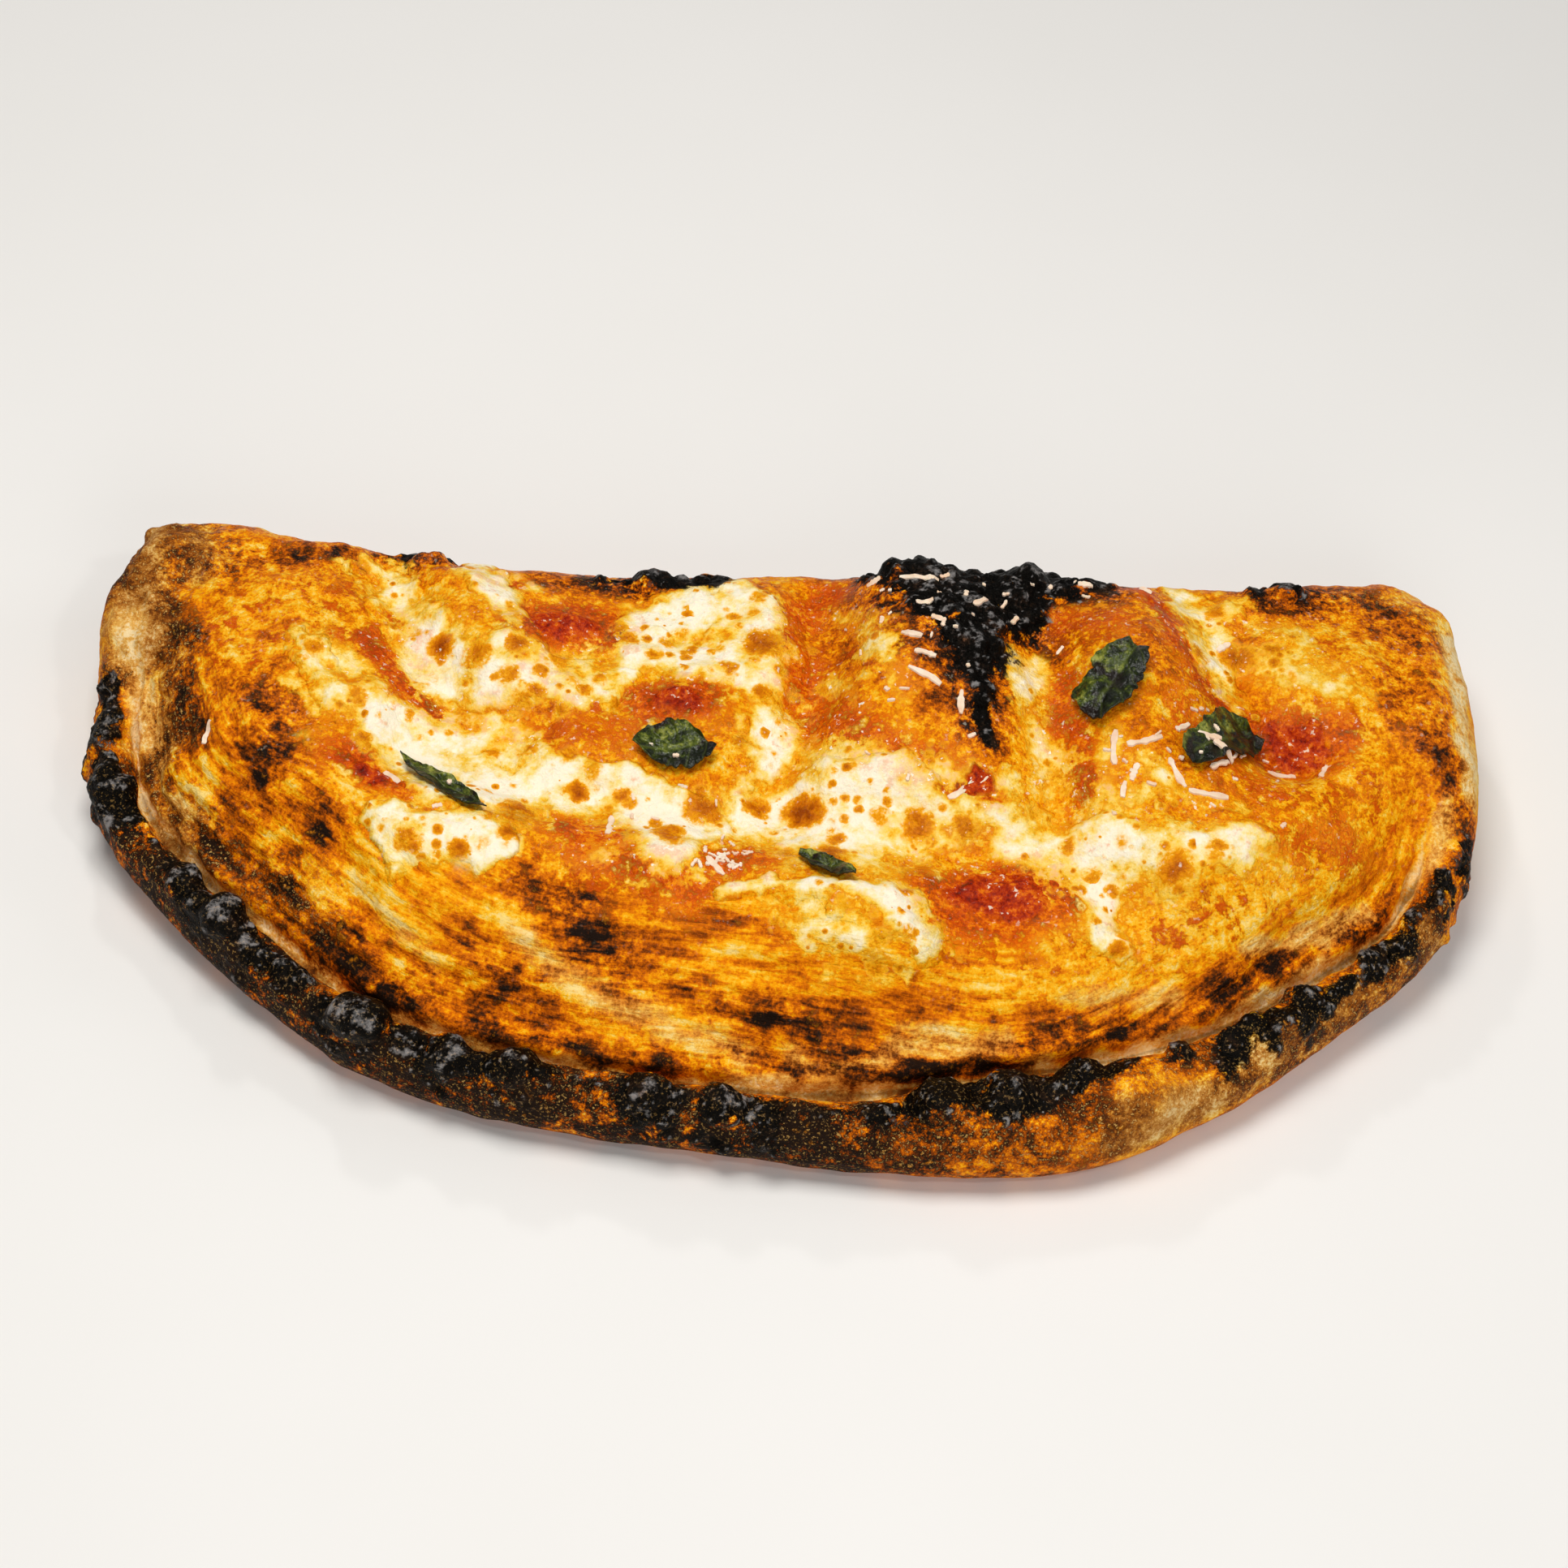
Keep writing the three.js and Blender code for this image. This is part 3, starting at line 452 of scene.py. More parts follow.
# ---- where the crust is charred, browned and stained. Rows: strength, half-width, line of points ----
CHAR = [
    (1.1, 5, [(-155, 32), (-155, 26), (-156, 19)]), (1.1, 4.5, [(-153, 10), (-151, 3), (-147, -3)]),
    (0.8, 3.2, [(-141, -5), (-137, -10)]), (1.1, 4.4, [(-135, -14), (-128, -24), (-120, -32)]),
    (1.1, 4.4, [(-116, -36), (-105, -44)]), (1.2, 6.6, [(-96, -53), (-88, -56)]),
    (1, 4.2, [(-82, -58), (-75, -60)]), (1.1, 4.8, [(-71, -62), (-61, -64.5), (-50, -66.5)]),
    (0.6, 3, [(-44, -68), (-36, -69)]), (1.1, 4.8, [(-32, -69.5), (-26, -70.5)]),
    (1.15, 5.2, [(-16, -71.5), (-8, -72.5), (-2, -73)]), (0.6, 3, [(3, -74), (14, -74)]),
    (1, 4.4, [(20, -72.5), (28, -71)]), (1.2, 7, [(30, -68.5), (40, -67)]),
    (1.2, 7.5, [(44, -66), (54, -63.5), (62, -61)]), (1.2, 5, [(66, -60), (72, -57)]),
    (0.9, 2.6, [(83, -54), (84, -50)]), (0.7, 2, [(89, -50), (89, -46)]),
    (1.1, 6.5, [(96, -50), (101, -45)]), (1, 3.6, [(105, -48), (106, -42)]),
    (1.2, 6, [(112, -40), (114, -37)]), (0.9, 4, [(119, -36), (123, -31)]),
    (1.2, 6.5, [(129, -25), (133, -19)]), (0.8, 3.4, [(136, -15), (140, -11)]),
    (1.1, 4.8, [(144, -9), (147, -5)]), (1.1, 4.5, [(151, 1), (153, 7)]), (1, 5, [(-91, 72), (-83, 71)]),
    (1, 4, [(-44, 66), (-30, 65), (-18, 66)]), (1.3, 7.5, [(20, 66), (30, 64), (48, 64), (68, 68)]),
    (1.3, 7, [(28, 55), (52, 56)]), (1.3, 7.5, [(31, 49), (50, 50)]), (1.2, 6.5, [(38, 41), (43, 35)]),
    (1.05, 4.5, [(26, 50), (31, 42), (37, 32)]), (1.1, 4.8, [(40, 30), (42, 24)]),
    (1.1, 3.2, [(42, 21), (42, 13)]), (1, 5, [(108, 71), (116, 70)]), (1.1, 8, [(20, 72), (64, 75)]),
]
BROWNED = [
    (0.5, 5, [(-140, 81), (-102, 76), (-30, 73), (60, 79), (130, 82)]),
    (2.1, 8, [(-152, -8), (-130, -32), (-100, -58), (-62, -71), (-20, -77), (14, -78)]),
    (0.5, 6, [(4, 56), (6, 46), (10, 40)]), (0.5, 6, [(68, 54), (75, 48), (82, 40)]),
    (0.8, 6, [(24, -79), (52, -77)]), (1, 5, [(-156, 72), (-157, 56)]), (1, 5, [(-146, 80), (-134, 78)]),
    (1, 5, [(-141, 62), (-143, 50)]), (0.9, 9, [(-119, 18), (-114, 6), (-113, -2)]),
    (0.7, 6, [(-101, -9), (-103, -16)]), (1, 7, [(-140, 38), (-137, 22), (-136, 10)]),
    (0.6, 8, [(-128, -4), (-112, -20)]), (0.75, 7, [(-120, -27), (-104, -36), (-92, -41), (-76, -47)]),
    (0.6, 7, [(-70, -42), (-44, -50), (-30, -48)]),
    (0.75, 6, [(-64, -54), (-36, -61), (-10, -62), (16, -60)]),
    (0.55, 4, [(20, -60), (40, -56), (60, -51), (84, -43)]),
    (0.7, 4, [(88, -40), (100, -34), (122, -18), (134, -8)]),
    (0.75, 7, [(-54, -30), (-42, -40), (-34, -46)]), (0.6, 6, [(-16, -52), (8, -53)]),
    (0.6, 7, [(112, 66), (130, 67), (142, 57)]), (0.6, 6, [(146, 32), (149, 16)]),
    (0.7, 6, [(-130, 62), (-108, 66), (-90, 68)]), (0.7, 5, [(-76, 64), (-60, 62)]),
    (0.8, 5, [(-62, 62), (-48, 62), (-34, 61)]), (0.5, 6, [(16, 48), (30, 36), (36, 18)]),
    (0.5, 5, [(52, 36), (62, 46), (72, 58)]), (0.8, 4, [(-96, 34), (-86, 22), (-76, 15)]),
    (0.6, 4, [(90, 40), (98, 30)]), (0.6, 6, [(136, 34), (140, 46)]),
]
# Small scorched spots: centre and radius.
SCORCHED = [
    (-136, 38, 3.2), (-141, 37, 2.4), (-135, 24, 4), (-135, 18, 3), (-117, 15, 4.2), (-115, 10, 3.6),
    (-113, 4, 5.5), (-115, -2, 4), (-119, 21, 3), (-102, -9, 3.2), (-99, -13, 3.4), (-103, -16, 4),
    (-124, -3, 3.6), (-128, -8, 4.5), (-109, -21, 4), (-142, 15, 3.4), (-118, 37, 3), (-115, 63, 4),
    (-132, 58, 2.6), (-105, 65, 4), (-92, -36, 3.6), (-96, -34, 2.6), (-73, -37, 3.6), (-69, -28, 1.8),
    (-64, -45, 4.6), (-66, -53, 3), (-45, -38, 5.5), (-42, -42, 3.6), (-46, -33, 4.2), (-33, -35, 2.6),
    (-27, -36, 2.2), (-14, -37, 2.6), (-21, -48, 3.2), (-21, -51.5, 1.6), (-14, -53, 3), (-3, -54, 4.6),
    (4, -54, 4.4), (-9, -56, 3), (4, -49, 2.2), (-33, -46, 2.6), (-37, -45, 3.6), (-53, -47, 3.6),
    (-62, -48, 4.4), (-26, -60, 4), (-40, -60, 4.6), (-34, -65, 3), (13, -58, 4.6), (17, -60, 3.6),
    (1, -64, 3), (16, -52, 2.6), (32, -49, 2.4), (27, -51, 2.4), (37, -49, 1.6), (44, -48, 1.6),
    (54, -48, 2), (44, -52, 1.8), (58, -51, 1.8), (63, -49, 1.5), (34, -54, 2.2), (40, -56, 2),
    (30, -59, 2.6), (72, -46.5, 2), (80, -44, 2.8), (69, -39, 1.6), (76, -68, 2.6), (93, -36, 3),
    (96, -38, 2), (125, -16, 2.6), (130, -11, 2.6), (134, -7, 2), (140, 9, 2), (146, 28, 3.4), (146, 23, 4),
    (149, 17, 4), (110, 62, 2.8), (115, 63, 1.6), (117, 58, 1.4), (137, 65, 5), (132, 69, 3.6),
    (125, 71, 3), (142, 57, 3), (132, 37, 1.8), (139, 43, 1.4), (-55, 14, 2.6), (-45, 14, 2), (30, 21, 2.4),
    (-66, 50, 1.2), (-130, 14, 3), (-116, 30, 2),
]
# Scorched strokes just inside the crease.
SCORCHED_EDGE = [
    (1.1, 3, [(-103, -35), (-96, -41), (-88, -46), (-80, -51)]), (0.9, 2, [(-74, -53), (-60, -57)]),
    (1, 1.8, [(12, -65), (23, -61), (33, -57), (40, -55)]), (1.1, 1.2, [(40, -56), (46, -55), (52, -54.5)]),
    (0.9, 1.6, [(70, -48), (76, -46), (82, -44)]), (0.9, 1.8, [(-50, -62), (-36, -65)]),
    (0.8, 2, [(104, -31), (112, -25)]),
]
SAUCE = [
    (1.1, 8, [(-60, 46), (-50, 47), (-42, 46)]), (1, 7, [(-32, 24), (-20, 27)]),
    (1, 6.5, [(-98, 3), (-88, -3)]), (0.9, 4, [(-98, 40), (-90, 26), (-80, 18), (-72, 18)]),
    (0.8, 7, [(-46, -14), (-40, -22), (-22, -27)]), (0.9, 5, [(-50, -12), (-38, -13)]),
    (1.2, 10, [(34, -27), (46, -25), (55, -22)]), (1.1, 9, [(108, 25), (120, 25)]),
    (1, 4.5, [(34, 1), (44, 1)]), (0.8, 5, [(60, 32), (61, 16), (64, 4)]),
    (0.75, 8, [(-2, 44), (4, 22), (18, 8), (32, 3)]), (0.85, 4.5, [(78, 66), (85, 54), (87, 44)]),
    (0.5, 9, [(-58, 14), (-42, 14), (-32, 20)]), (0.7, 4, [(-92, 50), (-84, 36)]),
    (0.9, 5, [(-72, 62), (-68, 60)]), (0.8, 7, [(6, 62), (2, 56)]), (0.9, 6, [(92, 38), (101, 28)]),
    (0.8, 7, [(-16, -21), (-8, -19)]), (0.55, 9, [(86, 24), (104, 6)]), (0.6, 8, [(60, 50), (72, 48)]),
    (0.5, 8, [(106, -6), (122, -2)]), (0.6, 5, [(-62, 34), (-42, 20)]),
]
FRECKLED = [
    (0.9, 6, [(104, 20), (112, 12), (122, 8)]), (0.8, 7, [(116, -2), (124, 4)]),
    (0.7, 8, [(96, 28), (104, 40)]), (1, 8, [(-128, 40), (-126, 32)]), (1, 8, [(-106, 44), (-104, 38)]),
    (0.9, 5, [(-120, 37), (-110, 36)]), (0.8, 9, [(-122, 50), (-104, 54)]),
    (0.9, 12, [(106, 6), (122, 12)]), (0.9, 8, [(112, -6), (122, -6)]), (0.8, 10, [(126, 26), (130, 10)]),
    (0.7, 9, [(100, -22), (80, -28)]), (0.7, 12, [(12, 50), (14, 26)]), (0.7, 12, [(60, 44), (78, 44)]),
    (0.6, 12, [(120, 56), (132, 46)]), (0.7, 9, [(-50, -24), (-20, -36)]),
    (0.6, 10, [(30, -40), (66, -36)]),
]
AMBER = [
    (1, 13, [(-12, 58), (-10, 30)]), (1, 11, [(90, 66), (100, 36)]), (0.6, 10, [(-108, 30), (-98, 18)]),
    (1, 26, [(22, 44), (34, 24)]), (1, 18, [(72, 52), (80, 22)]), (0.8, 12, [(-60, 18), (-36, 12)]),
    (0.7, 12, [(100, 4), (116, 0)]), (0.6, 14, [(-110, 24), (-96, 0)]), (0.6, 10, [(-50, 62), (-20, 62)]),
    (0.5, 10, [(-50, -22), (-20, -34)]),
]
# Dough that shows pale: steep walls and stretched wrinkles.
PALE = [
    (0.55, 5, [(74, -69), (98, -55), (122, -36), (140, -18)]), (1, 5, [(-153, 47), (-148, 30), (-143, 20)]),
    (0.9, 3.5, [(-143, 22), (-141, 12)]), (1.1, 4, [(154, 62), (153, 36), (154, 16)]),
    (0.8, 3.5, [(147, 12), (143, 0)]), (0.75, 5, [(-60, -38), (-34, -52), (-8, -60)]),
    (0.6, 4, [(-94, -27), (-74, -43)]), (0.8, 4, [(10, -62), (30, -55), (46, -51)]),
    (0.9, 3, [(100, -29), (116, -20), (128, -10)]), (0.7, 4, [(60, -44), (84, -38)]),
    (0.8, 5, [(0, -60), (12, -64)]), (0.6, 3.5, [(53, 34), (54, 10)]),
    (0.6, 4, [(-136, 2), (-128, -16), (-120, -24)]), (0.5, 4, [(-100, -4), (-88, -12)]),
]
FLOUR = [
    (1.1, 12, [(-150, 76), (-150, 58), (-147, 40)]), (0.9, 8, [(-139, 72), (-136, 58)]),
    (0.8, 7, [(-141, 34), (-139, 14)]), (0.8, 8, [(-146, 18), (-141, 2), (-128, -12)]),
    (0.5, 8, [(-118, -18), (-100, -30)]), (0.6, 5, [(126, 72), (140, 70), (150, 62)]),
    (1, 6, [(70, -73), (96, -58), (121, -38), (145, -14)]),
]
# Dough that is baked evenly gold.
GOLDEN = [
    (0.9, 10, [(8, -42), (40, -40), (70, -34), (100, -22), (116, -8)]),
    (1, 12, [(118, 0), (126, 16), (124, 40)]), (0.7, 6, [(-100, -22), (-86, -31), (-70, -36)]),
    (0.8, 6, [(-30, -44), (-12, -44)]),
]
# Thin whitish cheese that blends into the dough.
FILM = [
    (0.8, 4, [(13, 52), (19, 36), (24, 20)]), (0.7, 4, [(6, 34), (16, 16)]),
    (0.8, 5, [(60, 8), (52, 24), (50, 36)]), (0.7, 5, [(78, 8), (86, 2), (98, -2)]),
    (0.7, 4, [(102, 58), (116, 52)]), (0.6, 5, [(70, 16), (66, 2)]), (1, 7, [(-86, 38), (-80, 28)]),
    (0.8, 8, [(108, 46), (120, 42)]), (0.8, 5, [(10, -38), (19, -42)]), (0.8, 6, [(-3, -32), (8, -38)]),
    (0.9, 6, [(-8, 52), (-6, 30)]), (0.8, 5, [(-34, 52), (-20, 58)]), (0.7, 4, [(56, 6), (55, 22)]),
    (0.8, 6, [(0, 14), (16, 7), (30, 4)]), (0.7, 5, [(-46, -24), (-40, -20)]), (0.7, 5, [(20, 2), (50, 4)]),
    (0.7, 7, [(-104, 30), (-98, 20)]), (0.6, 5, [(-40, 34), (-30, 36)]),
]


def strokes(x, y, rows):
    """The strongest of several soft strokes at each point."""
    total = np.zeros(x.shape)
    for strength, half, line in rows:
        total = np.maximum(total, strength * np.exp(-((to_line(x, y, line)[0] / half) ** 2)))
    return total


def blister_heights(count, tree, rows):
    """Height of the blisters at each of count points, and how near the top of one it is, from 0 to 1."""
    height, crest = np.zeros(count), np.zeros(count)
    for x, y, z, radius, rise in rows:
        for _, index, distance in tree.find_range((x, y, z), radius):
            inside = 1 - (distance / radius) ** 2
            height[index] = max(height[index], rise * inside**0.7)
            crest[index] = max(crest[index], inside**3)
    return height, crest


def scorch_spots(x, y, along, inward, band):
    """Scorched spots, drawn out along the rim where the dough is wrinkled."""
    total = np.zeros(x.shape)
    for sx, sy, radius in SCORCHED:
        plain = np.hypot(x - sx, y - sy)
        i = np.argmin(plain + 50 * (inward < 0))
        drawn = np.hypot((along - along[i]) / 1.9, (inward - inward[i]) * 1.15)
        d = lerp(plain, drawn, band[i])
        total = np.maximum(total, np.clip(radius / 4.2, 0.5, 1) * np.exp(-((d / (0.9 * radius)) ** 2)))
    return total


WAVER = dict(size=9, reach=2.2)  # how the painted strokes waver
LARGE_BLISTER = dict(radius=0.76, rise=0.38)  # shares of the size in BLISTERS
BUBBLES = dict(count=1100, least=0.9, more=2.2, power=2.5, rise=(0.25, 0.6))
DRY_END = (-90, -112)  # where the cracked, floury left end starts and is full


def blisters_and_bubbles(points, normals, char):
    """Heights of the char's large blisters and small bubbles, and how near the top of one each point is."""
    rng = np.random.default_rng(SEED)
    x, y, z = points.T
    tree = KDTree(len(points))
    for i, p in enumerate(points):
        tree.insert(p, i)
    tree.balance()
    large, small = [], []
    for bx, by, size in BLISTERS + BACK_BLISTERS:
        i = np.argmin((x - bx) ** 2 + (y - by) ** 2 - 4 * z)
        large.append((*points[i], size * LARGE_BLISTER["radius"], size * LARGE_BLISTER["rise"]))
    weight = np.where((char > 0.45) & (normals[:, 2] > -0.2), char, 0)
    for i in rng.choice(len(points), BUBBLES["count"], p=weight / weight.sum()):
        radius = BUBBLES["least"] + BUBBLES["more"] * rng.random() ** BUBBLES["power"]
        small.append((*points[i], radius, radius * rng.uniform(*BUBBLES["rise"])))
    raised, crest = blister_heights(len(points), tree, large)
    bubbles, tips = blister_heights(len(points), tree, small)
    return raised, bubbles, np.maximum(0.8 * crest, tips)


def build_crust():
    """The dough with its blisters, wrinkles and colour masks."""
    points, quads, info = make_loft()
    normals = normals_of(points, quads)
    x, y, z = points.T
    inward, along, share = info["inward"], info["along"], info["share"]
    up = smooth(2, 12, z)
    top = smooth(0.2, 0.7, normals[:, 2]) * up
    flow = np.column_stack([along, inward])
    warp = np.column_stack([noise(points, WAVER["size"], k, 3) for k in (1, 2, 3)])
    rx, ry = x + WAVER["reach"] * warp[:, 0], y + WAVER["reach"] * warp[:, 1]
    past = inward - info["width"]  # distance inwards from the crease
    rim = (1 - smooth(-1.5, 1, past)) * share * smooth(-2, 1, inward)
    crown = lerp(1, smooth(1, 7, past), share)
    band = share * smooth(1, 4, past) * (1 - smooth(20, 46, past + 5 * warp[:, 2]))
    band *= 1 - 0.8 * smooth(20, 75, x) * smooth(6, 16, past)

    def along_crease(middle, half):
        return np.exp(-(((past - middle) / half) ** 2)) * share

    def painted(rows, widen=1.0):
        return strokes(rx, ry, [(strength, widen * half, line) for strength, half, line in rows])

    # Char fades down the back wall, and on the rim it stays clear of the crease.
    char = painted(CHAR) * lerp(smooth(12, 32, z + 7 * warp[:, 1]), smooth(5, 11, z), share)
    char *= np.where(share > 0.5, 1 - smooth(-4.5, -1.5, past + 1.2 * warp[:, 0]), 1)
    char += 0.25 * noise(points, 5, 21) * (char > 0.03)
    raised, bubbles, crest = blisters_and_bubbles(points, normals, char)
    on_char = smooth(0.35, 0.75, char)

    # Relief: wrinkles along the edge, the crease with its lip, blisters, and lumps from broad to fine.
    crease, lip = along_crease(0.4, 1.3), along_crease(2.8, 1.3)
    streak = lumps(flow, [(0.6, (24, 2.3), 7, 1), (0.5, (9, 1.5), 17, 1)])
    height = 0.7 * streak * band + raised * smooth(0.15, 0.5, char) + bubbles * on_char
    height += 1.2 * lip - 0.6 * crease
    height += lumps(flow, [
        (0.8, (34, 7), 15, band), (0.4, (10, 4), 8, rim), (-0.7, (22, 30), 9, crease),
        (1.5, (11, 30), 10, lip)])
    height += lumps(points, [
        (0.9, 26, 5, top), (0.5, 9, 6, top), (0.22, 3.2, 14, crown * (1 - band) * top),
        (0.3, 3, 20, lip + crease), (0.45, 2.6, 12, on_char), (0.13, 1.8, 11, up)])
    dry = np.clip(painted(FLOUR) * smooth(*DRY_END, x), 0, 1)
    height += dry * (2.4 * noise(points, 12, 13, 3) - 0.8 * np.abs(noise(points, 6, 16, 2)))
    height *= smooth(0.5, 4, z)
    moved = points + normals * height[:, None]
    moved[:, 2] = np.maximum(moved[:, 2], 0)

    # Masks. Pale dough shows on both sides of the crease.
    reach = np.clip(1.4 + 1.5 * noise(flow, (16, 60), 19, 3), 0.4, 3.2)
    inner = along_crease(0.6 - warp[:, 1], reach)
    singed_down = lerp(smooth(6, 26, z), smooth(1, 8, z), share)
    masks = dict(
        # crest, how near a blister's top each point is, places the painted highlights on the char.
        char=char, singed=painted(CHAR, 1.5) * singed_down * (1 - 0.8 * inner), crest=crest,
        browned=painted(BROWNED) * smooth(-2, 5, z), under=1 - smooth(1.5, 9, z),
        scorch=np.maximum(scorch_spots(rx, ry, along, inward, band), painted(SCORCHED_EDGE)) * up,
        sauce=painted(SAUCE) * top * crown, freckle=painted(FRECKLED) * crown,
        amber=strokes(x, y, AMBER) * crown * top, film=painted(FILM) * crown * top,
        pale=np.maximum(painted(PALE) * up, 1.25 * inner),
        flour=np.maximum(painted(FLOUR) * up, 0.55 * rim * smooth(0, 3, z)),
        # crease marks the bottom of the crease, where the material paints shade.
        crease=along_crease(0.3, 0.7), band=band, streak=streak, golden=painted(GOLDEN) * crown,
        oily=crown * top * (1 - band * 0.85) * (1 - smooth(-130, -142, x)),
        flow=np.column_stack([along, inward, np.zeros(len(x))]) * MM,
    )
    return moved, quads, masks


class Surface:
    """Heights and masks of the dough seen from above, on a grid."""

    STEP = 0.6
    LOW = np.array([-164.0, -86.0])
    HIGH = np.array([164.0, 90.0])
    ABOVE = 100.0  # where the rays start

    def __init__(self, points, quads, masks):
        tree = BVHTree.FromPolygons(points.tolist(), quads.tolist())
        self.shape = tuple(np.ceil((self.HIGH - self.LOW) / self.STEP).astype(int) + 1)
        self.heights = np.zeros(self.shape)
        corner = np.zeros(self.shape, int)
        down = Vector((0, 0, -1))
        for i in range(self.shape[0]):
            for j in range(self.shape[1]):
                gx, gy = self.LOW + np.array([i, j]) * self.STEP
                place, _, face, _ = tree.ray_cast(Vector((gx, gy, self.ABOVE)), down)
                if place is not None:
                    self.heights[i, j] = place.z
                    corner[i, j] = quads[face, 0]
        self.masks = {key: values[corner] for key, values in masks.items()}

    def sample(self, grid, x, y):
        u = np.clip((x - self.LOW[0]) / self.STEP, 0, self.shape[0] - 1.001)
        v = np.clip((y - self.LOW[1]) / self.STEP, 0, self.shape[1] - 1.001)
        i, j = u.astype(int), v.astype(int)
        a, b = u - i, v - j
        if grid.ndim == 3:
            a, b = a[:, None], b[:, None]
        low = grid[i, j] * (1 - a) + grid[i + 1, j] * a
        high = grid[i, j + 1] * (1 - a) + grid[i + 1, j + 1] * a
        return low * (1 - b) + high * b

    def __call__(self, x, y):
        return self.sample(self.heights, x, y)

    def masks_at(self, x, y):
        return {key: self.sample(grid, x, y) for key, grid in self.masks.items()}


# ---- pieces draped on the dough ----
SHEET_STEP = 0.55  # spacing of a draped sheet's grid
SHEET_DIP = 0.5  # how far its edge dips below the dough
SHEET_ROOT = 1.0  # how far its back lies below the dough
SHEET_SLOPE = 5.0  # how steeply it ends


def cheese_share(x, y, strands):
    """1 in the middle of the strands, 0 at their edge, and below 0 outside. Also how thick they are."""
    wx, wy = waver(x, y, [(3.6, 13, (31, 33), 2), (2.4, 5, (32, 34), 3)])
    best, thick = np.full(x.shape, -9.0), np.zeros(x.shape)
    for depth, line in strands:
        d, place = to_line(wx, wy, line)
        half = np.interp(place, np.arange(len(line)), [point[2] for point in line])
        share = 1 - d / (half * 1.15)
        thick = np.where(share > best, depth, thick)
        best = np.maximum(best, share)
    return best, thick


def grid_faces(shape):
    """Faces of four between the points of a grid."""
    index = np.arange(shape[0] * shape[1]).reshape(shape)
    return np.stack([index[:-1, :-1], index[1:, :-1], index[1:, 1:], index[:-1, 1:]], -1).reshape(-1, 4)


def closed_sheet(top, bottom, quads):
    """Points and faces of a solid between a sheet's upper and lower points."""
    count = len(top)
    edges = set()
    for quad in quads.tolist():
        for a, b in zip(quad, quad[1:] + quad[:1]):
            if (b, a) in edges:
                edges.remove((b, a))
            else:
                edges.add((a, b))
    walls = np.array([(b, a, a + count, b + count) for a, b in sorted(edges)])
    return np.vstack([top, bottom]), np.vstack([quads, quads[:, ::-1] + count, walls])


def draped_sheet(name, surface, low, high, field):
    """A closed sheet on the dough wherever field() gives a height above -SHEET_DIP."""
    xs = np.arange(low[0], high[0], SHEET_STEP)
    ys = np.arange(low[1], high[1], SHEET_STEP)
    gx, gy = np.meshgrid(xs, ys, indexing="ij")
    x, y = gx.ravel(), gy.ravel()
    height, extra = field(x, y)
    base = surface(x, y)
    keep = height > -SHEET_DIP
    quads = grid_faces(gx.shape)
    quads = quads[keep[quads].all(axis=1)]
    used, flat = np.unique(quads, return_inverse=True)
    top = np.column_stack([x, y, base + height])[used]
    bottom = np.column_stack([x, y, base - SHEET_ROOT])[used]
    values = {**surface.masks_at(x[used], y[used]), **{key: v[used] for key, v in extra.items()}}
    values = {key: np.concatenate([v, v]) for key, v in values.items()}
    return mesh_object(name, *closed_sheet(top, bottom, flat.reshape(-1, 4)), values)


# Brown blisters on the cheese: centre, radius, and how dark.
TOASTED = [
    (-72, 34, 3.4, 0.7), (-64, 28, 3, 0.6), (-63, 36, 3, 0.9), (-53, 35, 3, 0.6), (-58, 24, 2.4, 0.8),
    (-67, 10, 2.8, 0.5), (-60, -10, 4.8, 1), (-48, -1, 3, 1), (-38, 43, 2.6, 0.6), (-32, 38, 2.6, 0.6),
    (-24, 40, 2.2, 0.6), (-16, 34, 2.4, 0.6), (-8, 42, 5, 0.9), (-7, 27, 3, 0.7), (-20, -4, 4.8, 0.9),
    (-13, 13, 2.4, 0.8), (-59, 10, 2, 0.5), (-45, 4, 3, 0.5), (-27, -14, 4.2, 0.8), (-8, -1, 3.4, 0.8),
    (-57, 30, 2, 0.7), (-47, 26, 2.2, 0.7), (-26, 46, 2.4, 0.5), (-14, 51, 2, 0.6), (-9, 57, 2.2, 0.5),
    (-66, 50, 1.6, 0.5), (-80, 38, 3.2, 0.9), (2, -3, 4.4, 1.2), (27, -7, 4, 0.8), (37, -7, 3, 0.7),
    (9, -11, 2.4, 0.9), (8, -17, 4, 0.9), (27, -22, 4.4, 1), (-2, -16, 2.2, 0.6), (97, 62, 3.2, 0.6),
    (101, 48, 4.6, 0.9), (109, 49, 2.6, 0.5), (-84, -20, 2.6, 0.6), (-72, -22, 2.8, 0.8),
    (-62, -17, 3, 0.8), (83, -17, 4.4, 0.7), (-98, 20, 2.6, 0.6), (-66, -12, 3, 0.5), (60, -10, 2.2, 0.6),
    (92, -12, 2.2, 0.6), (-38, -2, 2.4, 0.6), (-4, 34, 2, 0.5), (-50, 8, 2.4, 0.6), (-40, 22, 2.6, 0.7),
    (-52, 20, 2.4, 0.6), (-34, 12, 2.4, 0.6), (-44, 30, 2.4, 0.6), (-18, 22, 2.2, 0.6),
]


def toast(x, y):
    """How toasted the cheese is at each point: 0 to about 1."""
    wx, wy = waver(x, y, [(0.8, 3, (44, 45), 2)])
    gold = np.zeros(x.shape)
    for sx, sy, radius, strength in TOASTED:
        d = np.hypot(wx - sx, wy - sy)
        near = d < radius * 1.5
        gold[near] = np.maximum(gold[near], 0.8 * strength * (1 - smooth(0, radius * 1.45, d[near])))
    return gold


